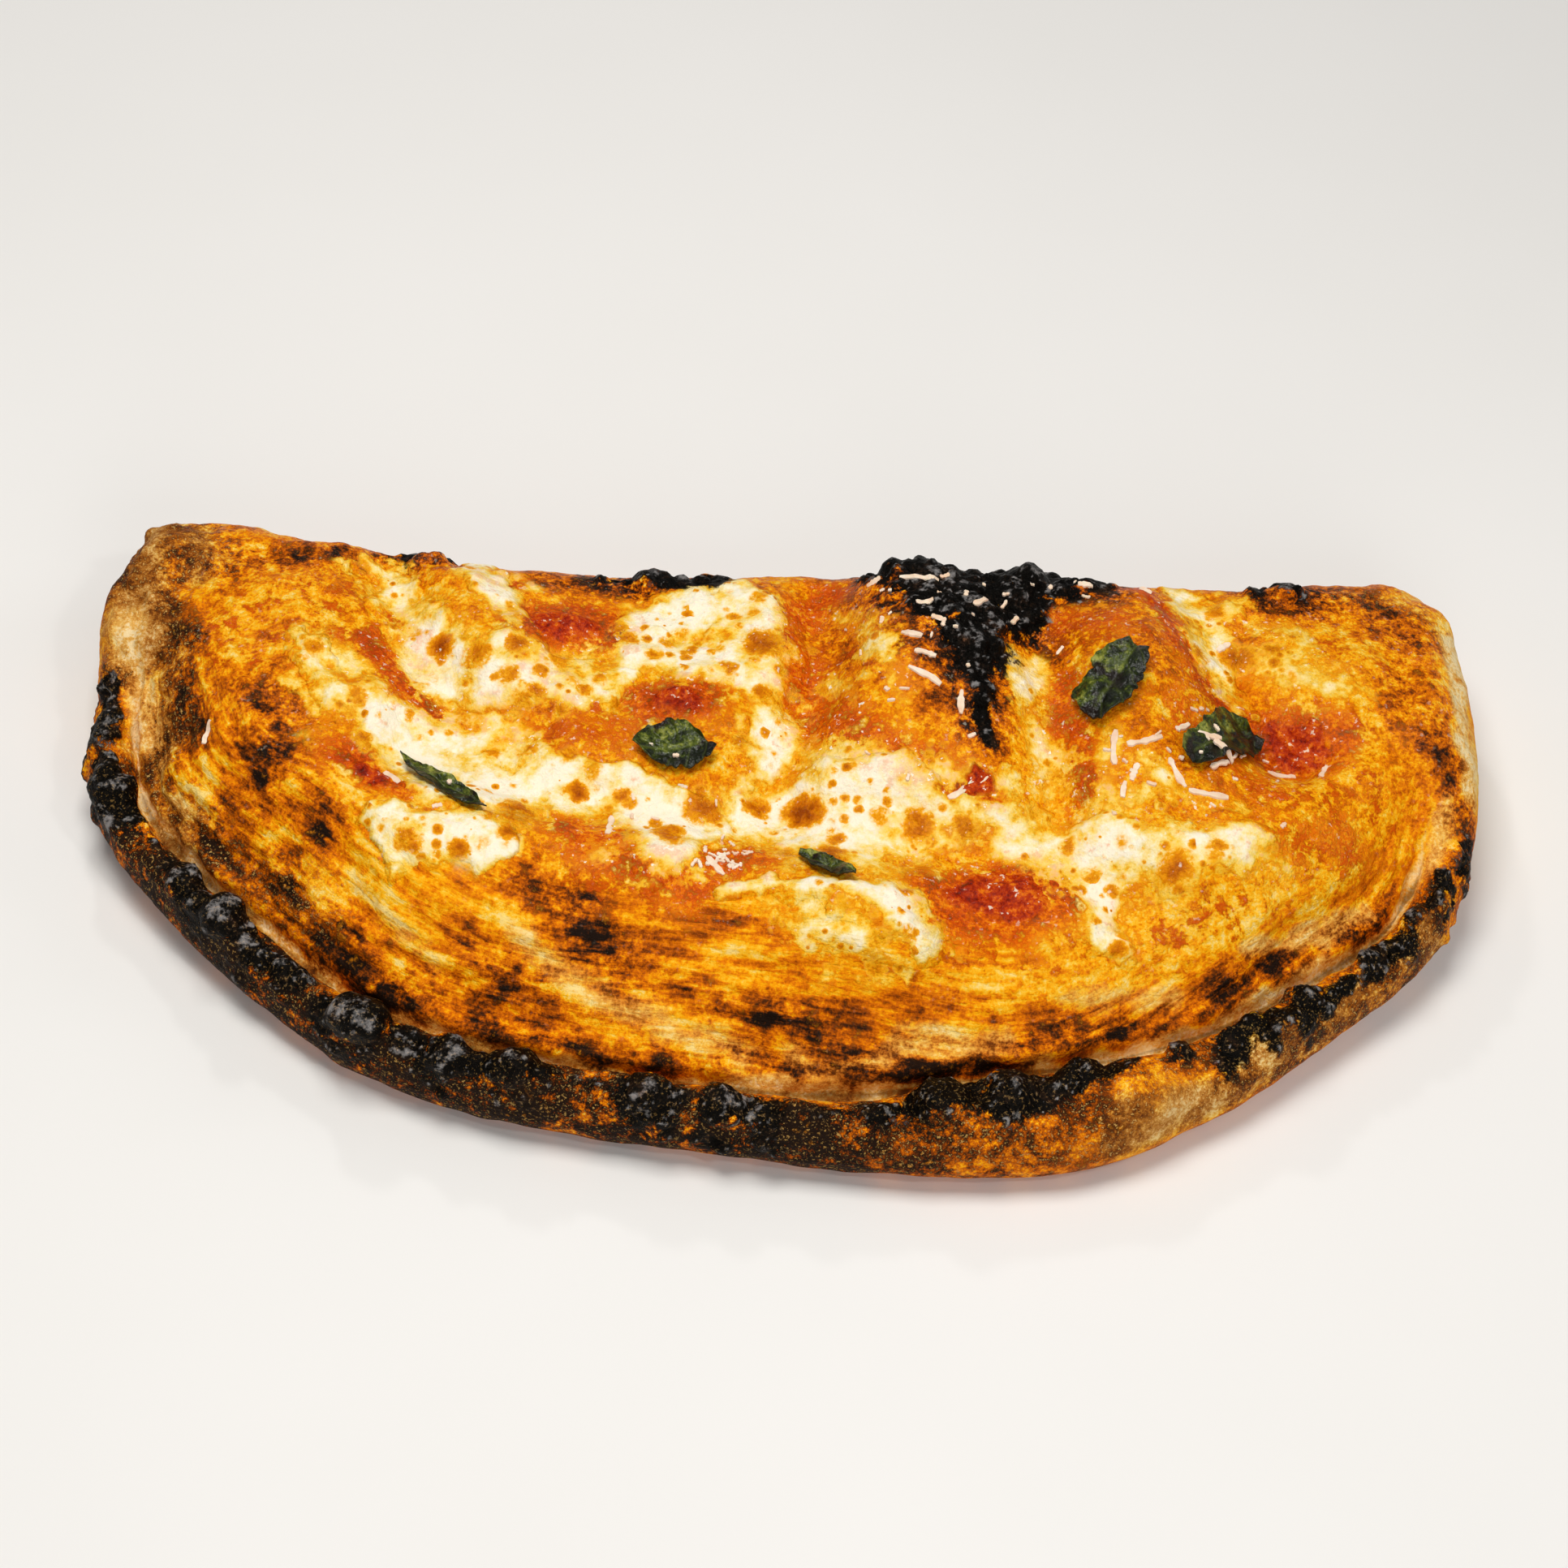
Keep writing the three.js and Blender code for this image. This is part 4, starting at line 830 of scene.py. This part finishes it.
def build_cheese(name, strands, surface):
    ends = np.array([point[:2] for _, line in strands for point in line])
    low, high = ends.min(0) - 20, ends.max(0) + 20

    def field(x, y):
        p = np.column_stack([x, y])
        share, thick = cheese_share(x, y, strands)
        inside = np.clip(share, 0, 1)
        body = inside + 0.22 * noise(p, 7, 43, 3) * smooth(0.02, 0.3, inside)
        height = thick * 0.78 * (1 - (1 - np.clip(body, 0, 1)) ** 2) + np.minimum(share, 0) * SHEET_SLOPE
        height += lumps(p, [(0.4, 5, 41, 1), (0.16, 1.8, 42, 1)]) * smooth(0, 0.4, inside) - 0.12
        gold = toast(x, y)
        height += 0.4 * smooth(0.5, 1, gold) * inside
        return height, dict(gold=gold, cheese=np.clip(0.2 + body * 1.1, 0, 1))

    return draped_sheet(name, surface, low, high, field)


def build_tomato(name, row, surface):
    cx, cy, along, across, turn, thick = row
    reach = max(along, across) + 6

    def field(x, y):
        wx, wy = waver(x, y, [(2.6, 7, (51, 52), 3)])
        u, v = in_ellipse(wx, wy, cx, cy, along, across, turn)
        share = 1 - np.hypot(u, v)
        inside = np.clip(share, 0, 1)
        height = thick * (1 - (1 - inside) ** 1.8) + np.minimum(share, 0) * SHEET_SLOPE
        pulp = lumps(np.column_stack([x, y]), [(0.6, 3.2, 53, 1), (0.2, 1.3, 54, 1)])
        height += pulp * smooth(0, 0.3, inside) - 0.1
        return height, dict(tomato=np.clip(0.2 + inside * 1.8, 0, 1))

    return draped_sheet(name, surface, (cx - reach, cy - reach), (cx + reach, cy + reach), field)


TORN = dict(places=[-1, -0.6, -0.15, 0.3, 0.7, 1], widths=[0.4, 0.9, 1.0, 1.05, 0.85, 0.35], spread=0.16)
LEAF_GRID = (70, 44)  # faces along and across a leaf
LEAF_LIFT = 0.4  # how far a leaf lies above what carries it


def build_basil(name, row, tops):
    """A torn, folded leaf as a thin closed solid."""
    cx, cy, length, width, turn, curl = row
    rng = np.random.default_rng(SEED + round(cx + 200))
    rows, across = LEAF_GRID
    c, s = cos_sin(turn)
    k, j = np.meshgrid(np.arange(rows + 1), np.arange(across + 1), indexing="ij")
    u, v = 2 * k.ravel() / rows - 1, 2 * j.ravel() / across - 1
    sides = [np.array(TORN["widths"]) + rng.uniform(-1, 1, 6) * TORN["spread"] for _ in range(2)]
    left, right = (np.interp(u, TORN["places"], side) for side in sides)
    rag = noise(np.column_stack([u * 5 + cx, np.sign(v) * 3 + cy]), 1, 63, 3)
    half = width / 2 * np.where(v > 0, left, right) * (1 + 0.16 * rag)
    slant = length / 2 * (u + 0.22 * v * rng.uniform(-1, 1))
    flat = np.column_stack([cx + slant * c - half * v * s, cy + slant * s + half * v * c])
    ridge, bend = rng.uniform(-0.2, 0.2, 2)
    folds = 0.8 * curl * np.abs(v - ridge - 0.4 * u) + 0.7 * curl * np.abs(u - bend + 0.3 * v)
    folds += 0.9 * np.abs(noise(flat, 5, 62, 2)) + 0.3 * noise(flat, 2.2, 61, 2)
    rib = np.exp(-((v / 0.08) ** 2))
    vein = rib + 0.6 * np.exp(-((np.sin(6 * u + 3 * np.abs(v)) / 0.16) ** 2))
    z = tops(flat[:, 0], flat[:, 1]) + LEAF_LIFT + folds - 0.25 * vein
    top, bottom = (np.column_stack([flat, z + part * BASIL_THICK]) for part in (0.5, -0.5))
    solid = closed_sheet(top, bottom, grid_faces((rows + 1, across + 1)))
    return facing_out(mesh_object(name, *solid, dict(vein=np.tile(vein, 2), across=np.tile(v, 2))))


def facing_out(obj):
    """The same object, with all its faces turned outwards."""
    bm = bmesh.new()
    bm.from_mesh(obj.data)
    bmesh.ops.recalc_face_normals(bm, faces=bm.faces)
    bm.to_mesh(obj.data)
    bm.free()
    return obj


def build_shreds(tops):
    """Strips and crumbs of hard cheese, bent over what they lie on, in one mesh."""
    rng = np.random.default_rng(SEED + 1)
    rows = [(x, y, length, turn, SHRED["width"]) for x, y, length, turn in SHREDS]
    for x, y, spread, count in CRUMBS:
        for _ in range(count):
            px, py = rng.normal((x, y), spread)
            length, turn, wide = (rng.uniform(*CRUMB[key]) for key in ("length", "turn", "width"))
            rows.append((px, py, length, turn, wide))
    points, faces, steps = [], [], SHRED["steps"]
    for x, y, length, turn, wide in rows:
        c, s = cos_sin(turn)
        bend, start = rng.uniform(-0.1, 0.1), len(points)
        for k in range(steps + 1):
            u = (k / steps - 0.5) * length
            side = bend * u * u / length * 2
            px, py = x + u * c - side * s, y + u * s + side * c
            half = wide / 2 * (1 if 0 < k < steps else 0.6) * rng.uniform(0.6, 1.2)
            z = float(tops(np.array([px]), np.array([py]))[0])
            for v, w in ((-1, -0.3), (-0.85, 0.6), (0.85, 0.75), (1, -0.3)):
                points.append((px - half * v * s, py + half * v * c, z + SHRED["thick"] * w))
        for k in range(steps):
            a = start + 4 * k
            faces += [(a + j, a + (j + 1) % 4, a + 4 + (j + 1) % 4, a + 4 + j) for j in range(4)]
        end = start + 4 * steps
        faces += [(start, start + 3, start + 2, start + 1), (end, end + 1, end + 2, end + 3)]
    return facing_out(mesh_object("parmesan_shreds", np.array(points), faces, shade_smooth=False))


# ---- materials ----
class Value:
    """An output of a graph's node, which can be added, subtracted and multiplied."""

    def __init__(self, graph, socket):
        self.graph, self.socket = graph, socket

    def __add__(self, other):
        return self.graph.math("ADD", self, other)

    def __sub__(self, other):
        return self.graph.math("SUBTRACT", self, other)

    def __rsub__(self, other):
        return self.graph.math("SUBTRACT", other, self)

    def __mul__(self, other):
        return self.graph.math("MULTIPLY", self, other)

    __radd__, __rmul__ = __add__, __mul__


class Graph:
    """A material's node graph, made by short calls."""

    def __init__(self, name):
        self.material = bpy.data.materials.new(name)
        self.material.use_nodes = True
        self.tree = self.material.node_tree
        self.shader = self.tree.nodes["Principled BSDF"]

    def put(self, socket, value):
        if isinstance(value, Value):
            self.tree.links.new(value.socket, socket)
        elif isinstance(value, tuple) and len(value) == 3 and socket.type == "RGBA":
            socket.default_value = (*value, 1)
        else:
            socket.default_value = value

    def node(self, kind, output, inputs=(), **settings):
        """The named output of a new node."""
        node = self.tree.nodes.new(kind)
        for key, value in settings.items():
            setattr(node, key, value)
        for key, value in dict(inputs).items():
            self.put(node.inputs[key], value)
        return Value(self, node.outputs[output])

    def vector(self, name):
        return self.node("ShaderNodeAttribute", "Vector", attribute_name=name)

    def masks(self, names):
        return [self.node("ShaderNodeAttribute", "Fac", attribute_name=name) for name in names.split()]

    def place(self):
        return self.node("ShaderNodeTexCoord", "Object")

    def stretched(self, vector, scale):
        return self.node("ShaderNodeMapping", 0, {"Vector": vector, "Scale": scale})

    def noise(self, scale, detail=4.0, rough=0.6, vector=None, distortion=0.0):
        """Noise spread about 0, from about -1 to 1."""
        inputs = {"Scale": scale, "Detail": detail, "Roughness": rough, "Distortion": distortion}
        inputs["Vector"] = vector or self.place()
        return self.math("MULTIPLY_ADD", self.node("ShaderNodeTexNoise", "Fac", inputs), 4.0, -2.0)

    def spots(self, scale, size):
        """Round spots of differing size: 1 in their middle, 0 between them."""
        cell = self.node("ShaderNodeTexVoronoi", "Color", {"Scale": scale, "Vector": self.place()})
        distance = Value(self, cell.socket.node.outputs["Distance"])
        radius = self.node("ShaderNodeSeparateColor", 0, {"Color": cell}) * size
        return self.math("SUBTRACT", 1.0, self.math("DIVIDE", distance, radius), clamp=True)

    def math(self, operation, a, b=0.0, c=0.0, clamp=False):
        return self.node("ShaderNodeMath", 0, enumerate((a, b, c)), operation=operation, use_clamp=clamp)

    def most(self, a, b):
        return self.math("MAXIMUM", a, b)

    def step(self, value, low, high, out_low=0.0, out_high=1.0):
        inputs = {"Value": value, "From Min": low, "From Max": high, "To Min": out_low, "To Max": out_high}
        return self.node("ShaderNodeMapRange", 0, inputs, interpolation_type="SMOOTHSTEP")

    def ramp(self, value, stops):
        colour = self.node("ShaderNodeValToRGB", "Color", {"Fac": value})
        elements = colour.socket.node.color_ramp.elements
        while len(elements) < len(stops):
            elements.new(0.5)
        for element, (place, stop) in zip(elements, stops):
            element.position = place
            element.color = (*screen(*stop), 1)
        return colour

    def mix(self, share, a, b):
        a, b = (screen(*colour) if isinstance(colour, tuple) else colour for colour in (a, b))
        return self.node("ShaderNodeMix", 2, {0: share, 6: a, 7: b}, data_type="RGBA")

    def finish(self, colour, roughness, height=None, film=None, **uniform):
        """Links the colour, roughness, heights in mm of the surface and its wet film, and other inputs."""
        values = {"Base Color": colour, "Roughness": roughness}
        values.update({key.replace("_", " "): value for key, value in uniform.items()})
        for key, relief in (("Normal", height), ("Coat Normal", film)):
            if relief is not None:
                inputs = {"Height": relief, "Distance": MM, "Strength": 1.0}
                values[key] = self.node("ShaderNodeBump", 0, inputs)
        for key, value in values.items():
            self.put(self.shader.inputs[key], value)
        return self.material


def screen(r, g, b):
    """A colour given in 0 to 255 as on a screen, for a node socket."""
    return tuple(c / 255 / 12.92 if c <= 10 else ((c / 255 + 0.055) / 1.055) ** 2.4 for c in (r, g, b))


def baked_material(name, **uniform):
    """The dough with all that is baked onto it, each shown where its mask says."""
    g = Graph(name)
    char, singed, browned, scorch, crest = g.masks("char singed browned scorch crest")
    amber, golden, pale, flour, under = g.masks("amber golden pale flour under")
    band, streak, crease, freckle, oily = g.masks("band streak crease freckle oily")
    cheese, gold, film, sauce, tomato = g.masks("cheese gold film sauce tomato")

    broad = g.noise(36, 3)
    medium = g.noise(120, 5, 0.65)
    small = g.noise(420, 4, 0.65)
    fine = g.noise(1250, 3, 0.6)
    grain = g.noise(2700, 2)
    flakes = g.noise(210, 6, 0.72, distortion=0.3)
    fibre = g.noise(330, 4, 0.6, g.stretched(g.vector("flow"), (0.3, 2.2, 1)), 0.3)

    def uneven(base, by_medium, by_small=0.0, by_fine=0.0):
        """A mask or number made uneven by so much of each noise."""
        for texture, share in ((medium, by_medium), (small, by_small), (fine, by_fine)):
            if share:
                base = base + texture * share
        return base

    # How far the dough is baked, from 0 for pale to 1 for black.
    scorched = g.step(uneven(scorch + band * fibre * 0.2, 0.16, 0.22), 0.45, 1.3)
    scorched = scorched * g.step(scorch, 0.02, 0.25)
    bake = (
        uneven(broad * 0.08 + 0.315, 0.15, 0.09, 0.10)
        + amber * 0.08 - pale * 0.24 + under * 0.07 + scorch * 0.24 + scorched * 0.18
        + golden * uneven(-0.05, -0.05)
        + band * (fibre * 0.26 - streak * 0.22 + 0.02)
        + browned * uneven(0.22, 0.16, 0.14, 0.08)
        + singed * uneven(0.36, 0.14, 0.18, 0.14)
        + flour * uneven(0.05, 0.24, 0.12, 0.14)
        + oily * uneven(flakes * 0.22 + 0.01, 0, 0.08, 0.07)
    )
    colour = g.ramp(bake, [
        (0.00, (252, 216, 124)), (0.14, (253, 194, 46)), (0.26, (250, 168, 2)), (0.38, (234, 129, 0)),
        (0.50, (203, 98, 0)), (0.62, (150, 67, 2)), (0.76, (84, 38, 5)), (0.90, (26, 14, 8)),
    ])
    dots = g.step(freckle * 0.6 + flakes * 0.6 + fine * 0.05, 0.50, 0.66)
    colour = g.mix(dots * g.step(fine, -0.8, 0.8, 0.5, 0.95), colour, (206, 78, 0))
    dull = g.ramp(bake + 0.02, [
        (0.00, (226, 192, 134)), (0.18, (206, 152, 78)), (0.34, (172, 106, 34)), (0.50, (130, 68, 14)),
        (0.66, (84, 40, 10)), (0.84, (38, 22, 12)),
    ])
    colour = g.mix(g.step(uneven(flour, 0.2, 0.15, 0.12), 0.3, 1.0), colour, dull)
    cream = g.ramp(bake + fine * 0.05, [
        (0.00, (246, 220, 168)), (0.22, (234, 182, 92)), (0.42, (206, 136, 50)), (0.62, (130, 66, 12)),
        (0.80, (44, 22, 10)),
    ])
    colour = g.mix(g.step(uneven(pale, 0.2, 0.2, 0.1), 0.42, 0.95) * 0.85, colour, cream)
    # Painted shade: the bottom of the crease is darkened to dark brown.
    colour = g.mix(g.step(uneven(crease, 0.3), 0.55, 1.0) * 0.7, colour, (84, 40, 8))

    # Tomato sauce and oil.
    stain = g.step(uneven(sauce, 0.34, 0.30, 0.14), 0.2, 0.7)
    red = g.ramp(uneven(0.50, 0.34, 0.34, 0.24), [
        (0.18, (124, 20, 0)), (0.42, (190, 54, 0)), (0.58, (222, 94, 0)), (0.78, (246, 150, 8))])
    colour = g.mix(stain * 0.9, colour, red)

    # Melted cheese: orange and yellow where it is thin, white where it is thick.
    tint, curd = g.noise(75, 4), g.noise(62, 5, 0.6)
    share = g.most(cheese, film * 0.84)
    near = g.step(share, 0.1, 0.5)
    amount = uneven(share * 0.88 + curd * 0.42 - amber * 0.1 - stain * 0.18 + 0.05, 0.42, 0.26)
    melt = g.ramp(amount + tint * 0.24 - amber * 0.12 - 0.05, [
        (0.20, (232, 132, 4)), (0.34, (244, 168, 14)), (0.46, (250, 198, 60)), (0.60, (250, 214, 116)),
        (0.78, (251, 229, 172)), (0.98, (253, 241, 214))])
    rosy = g.step(stain * 0.7 - tint * 0.5 + small * 0.2, 0.15, 0.8)
    rosy = rosy * g.step(amount, 0.45, 0.7) * g.step(small, -0.5, 0.6) * 0.6
    melt = g.mix(rosy, melt, (240, 170, 120))
    colour = g.mix(g.step(amount, 0.22, 0.42) * g.step(share, 0.02, 0.2), colour, melt)

    # Toasted spots on it.
    blister = g.most(g.spots(150, 0.66) * 0.65, g.spots(330, 0.66) * 0.6) * g.step(g.noise(55, 2), -0.6, 0.4)
    toasted = g.most(gold, blister * near)
    toasted = toasted + uneven(small * 0.22, 0.12, 0, 0.14) * g.step(toasted, 0.0, 0.3)
    shade = g.ramp(toasted, [
        (0.06, (251, 208, 84)), (0.20, (246, 176, 22)), (0.36, (232, 144, 4)), (0.58, (202, 108, 0)),
        (0.86, (146, 64, 0))])
    colour = g.mix(g.step(toasted, 0.04, 0.26) * near, colour, shade)

    # Cooked tomato.
    flesh = g.ramp(uneven(0.49, 0.24, 0.32, 0.18), [
        (0.18, (92, 10, 0)), (0.40, (154, 30, 0)), (0.60, (198, 62, 0)), (0.85, (240, 130, 16))])
    colour = g.mix(g.step(uneven(tomato, 0.25, 0.2), 0.2, 0.8), colour, flesh)

    # Char, with painted highlights on its blister crests and pale specks of ash, and flour on the rim.
    black = g.step(uneven(char, 0.18, 0.22, 0.14), 0.46, 0.74)
    soot = g.ramp(uneven(0.38, 0.30, 0.26, 0.22), [
        (0.2, (1, 1, 1)), (0.45, (7, 6, 5)), (0.68, (40, 26, 16)), (0.95, (128, 76, 36))])
    # Painted highlight: the tops of the char's blisters are lightened to pale grey.
    painted_highlight = g.step(uneven(crest * 0.8, 0.3, 0.4, 0.25), 0.5, 1.1)
    speck = g.step(fine + medium * 0.5, 0.4, 1.3)
    colour = g.mix(black, colour, g.mix(g.most(painted_highlight * 0.8, speck * 0.12), soot, (150, 146, 144)))
    dust = g.step(fine + grain * 0.5, 0.3, 0.8) * g.step(flour, 0.1, 0.7)
    colour = g.mix(dust * g.step(black, 1, 0, 0.2, 0.6), colour, (246, 192, 104))

    # Wet places, with small painted glints: pale specks painted into the colour as painted highlights.
    wet = g.most(oily, g.step(g.most(cheese, tomato), 0.3, 0.6)) * (1.0 - black)
    shiny = g.step(g.noise(90, 3) + g.most(stain, tomato) * 0.5, -0.4, 0.5)
    painted_glints = g.step(g.noise(700, 2) + small * 0.2, 0.58, 0.84) * wet * shiny
    painted_glints = painted_glints * (stain * 0.25 + near * 0.3 + tomato * 0.2 + film * 0.4 + 0.22)
    colour = g.mix(painted_glints, colour, (255, 248, 226))

    soft = g.step(amount, 0.45, 0.75)
    rough = fine * 0.05 - wet * 0.2 - black * 0.14 + 0.62
    relief = (
        small * (oily * 0.08 + black * 0.02 - soft * 0.10 + 0.18)
        + fine * (oily * 0.05 + black * 0.02 - soft * 0.06 + 0.08)
        + grain * (0.03 - soft * 0.02) + fibre * band * 0.2 + medium * flour * 0.3
        + g.step(toasted, 0.2, 0.7) * 0.15 + medium * 0.10 + dots * 0.1
    )
    drops = small * 0.22 + g.noise(900, 3) * 0.10
    return g.finish(
        colour, rough, relief, drops, Coat_Weight=wet * shiny * 0.15, Coat_Roughness=0.10,
        Specular_IOR_Level=0.07, Specular_Tint=(1.0, 0.86, 0.7), **uniform)


def basil_material():
    g = Graph("wilted_basil")
    vein, across = g.masks("vein across")
    medium, fine = g.noise(300, 4, 0.65), g.noise(1250, 3)
    # Painted light and shade: the half of each leaf on one side of its fold is painted lighter, the other
    # half darker.
    light = g.step(across + g.noise(120, 3) * 0.5, -0.4, 0.5, -0.12, 0.14)
    colour = g.ramp(light + medium * 0.36 + fine * 0.14 + 0.42, [
        (0.15, (8, 8, 4)), (0.42, (24, 32, 6)), (0.60, (68, 80, 12)), (0.82, (150, 152, 62))])
    colour = g.mix(vein * 0.4, colour, (108, 120, 44))
    colour = g.mix(g.step(g.noise(140, 3), 0.1, 0.5), colour, (24, 14, 8))
    return g.finish(
        colour, medium * 0.08 + 0.40, medium * 0.2 + fine * 0.05, medium * 0.3,
        Coat_Weight=0.5, Coat_Roughness=0.07, Specular_IOR_Level=0.1)


def parmesan_material():
    g = Graph("hard_cheese")
    colour = g.ramp(g.noise(260, 3) * 0.3 + 0.5, [(0.2, (238, 192, 156)), (0.8, (252, 232, 210))])
    return g.finish(colour, 0.5, g.noise(900, 3) * 0.06, Subsurface_Weight=0.15, Subsurface_Scale=0.002)


def floor_material():
    g = Graph("plain_floor")
    colour = g.ramp(g.noise(6, 3) * 0.3 + 0.5, [(0, (236, 234, 230)), (1, (241, 239, 236))])
    return g.finish(colour, 0.85)


# ---- assembly ----
def dress(obj, material, slot, *nodes):
    obj.data.materials.append(material)
    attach(obj, "root")
    if nodes:
        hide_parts(*nodes)


def build_food():
    points, quads, masks = build_crust()
    surface = Surface(points, quads, masks)
    x, y = points[:, 0], points[:, 1]
    nearest = np.max([cheese_share(x, y, strands)[0] for strands in MOZZARELLA.values()], axis=0)
    masks["cheese"] = 0.34 * smooth(-0.9, 0.1, nearest) * masks["oily"]  # a thin film round each piece
    masks["gold"] = toast(x, y) * masks["oily"]
    dough = baked_material("baked_dough", Subsurface_Weight=0.03, Subsurface_Scale=0.003)
    dress(mesh_object("crust", points, quads, masks), dough, "crust", "dough")

    cheese = baked_material("melted_mozzarella", Subsurface_Weight=0.12, Subsurface_Scale=0.003)
    for name, strands in MOZZARELLA.items():
        dress(build_cheese("melted_" + name, strands, surface), cheese, "mozzarella", name)
    tomato = baked_material("cooked_tomato")
    for name, row in TOMATO.items():
        dress(build_tomato("cooked_" + name, row, surface), tomato, "tomato", name)

    def tops(px, py):
        height = surface(px, py)
        for strands in MOZZARELLA.values():
            share, thick = cheese_share(px, py, strands)
            height = np.maximum(height, surface(px, py) + thick * 0.75 * smooth(0, 0.7, share))
        return height

    basil = basil_material()
    for name, row in BASIL.items():
        dress(build_basil("wilted_" + name, row, tops), basil, "basil", name)

    def over_leaves(px, py):
        height = tops(px, py)
        for cx, cy, length, width, turn, curl in BASIL.values():
            u, v = in_ellipse(px, py, cx, cy, length / 2, width / 2, turn)
            height += (1 + 0.6 * curl) * smooth(1.2, 0.7, np.hypot(u, v))
        return height

    dress(build_shreds(over_leaves), parmesan_material(), "mozzarella")


FLOOR_REACH = 3.0  # metres to each side
WORLD_STRENGTH = 0.15
LIT_POINT = (0, 0, 0.02)  # what every lamp faces
WHITE = (1, 1, 1)
LIGHTS = [  # name, place and size in metres, energy, colour
    ("softbox", (-0.15, 0.0, 0.95), 0.4, 6.1, (1, 0.98, 0.95)),
    ("front_light", (0.15, -0.85, 0.5), 0.5, 2.5, WHITE),
    ("side_light", (0.8, 0.1, 0.5), 0.5, 1.0, WHITE),
    ("back_glint", (-0.25, 0.75, 0.75), 0.08, 1.1, WHITE),
    ("front_glint", (0.3, -0.45, 0.85), 0.07, 0.8, WHITE),
]


def build_stage():
    mesh = bpy.data.meshes.new("floor")
    corners = [(i * FLOOR_REACH, j * FLOOR_REACH, 0) for i, j in ((-1, -1), (1, -1), (1, 1), (-1, 1))]
    mesh.from_pydata(corners, [], [(0, 1, 2, 3)])
    mesh.materials.append(floor_material())
    linked("floor", mesh)


def build_lights():
    for name, place, size, energy, colour in LIGHTS:
        light = bpy.data.lights.new(name, "AREA")
        light.size, light.energy, light.color = size, energy, colour
        obj = linked(name, light)
        obj.location = place
        obj.rotation_euler = (Vector(LIT_POINT) - Vector(place)).to_track_quat("-Z", "Y").to_euler()
    world = bpy.data.worlds.new("studio")
    world.use_nodes = True
    background = world.node_tree.nodes["Background"].inputs
    background["Color"].default_value = (1, 1, 1, 1)
    background["Strength"].default_value = WORLD_STRENGTH
    bpy.context.scene.world = world


CAMERA = dict(  # angles in degrees, distance and target in the design frame, clip in metres
    azimuth=-3.5, elevation=48.6, roll=5.6, distance=837.0, target=(-1.5, 17.5, 20.0), lens=85.0, sensor=36,
    clip=0.01,
)


def build_camera():
    (ca, sa), (ce, se), (cr, sr) = (cos_sin(CAMERA[key]) for key in ("azimuth", "elevation", "roll"))
    back, right = Vector((sa * ce, -ca * ce, se)), Vector((ca, sa, 0))
    up = back.cross(right)
    rolled_right, rolled_up = right * cr + up * sr, up * cr - right * sr
    data = bpy.data.cameras.new("camera")
    data.lens, data.sensor_width, data.clip_start = CAMERA["lens"], CAMERA["sensor"], CAMERA["clip"]
    cam = linked("camera", data)
    place = Vector(to_frame(CAMERA["target"])) + back * CAMERA["distance"] * MM
    turn = Matrix((rolled_right, rolled_up, back)).transposed().to_4x4()
    cam.matrix_world = Matrix.Translation(place) @ turn
    bpy.context.scene.camera = cam


build_camera()
build_food()
build_stage()
build_lights()
bpy.context.scene.view_settings.view_transform = "Standard"
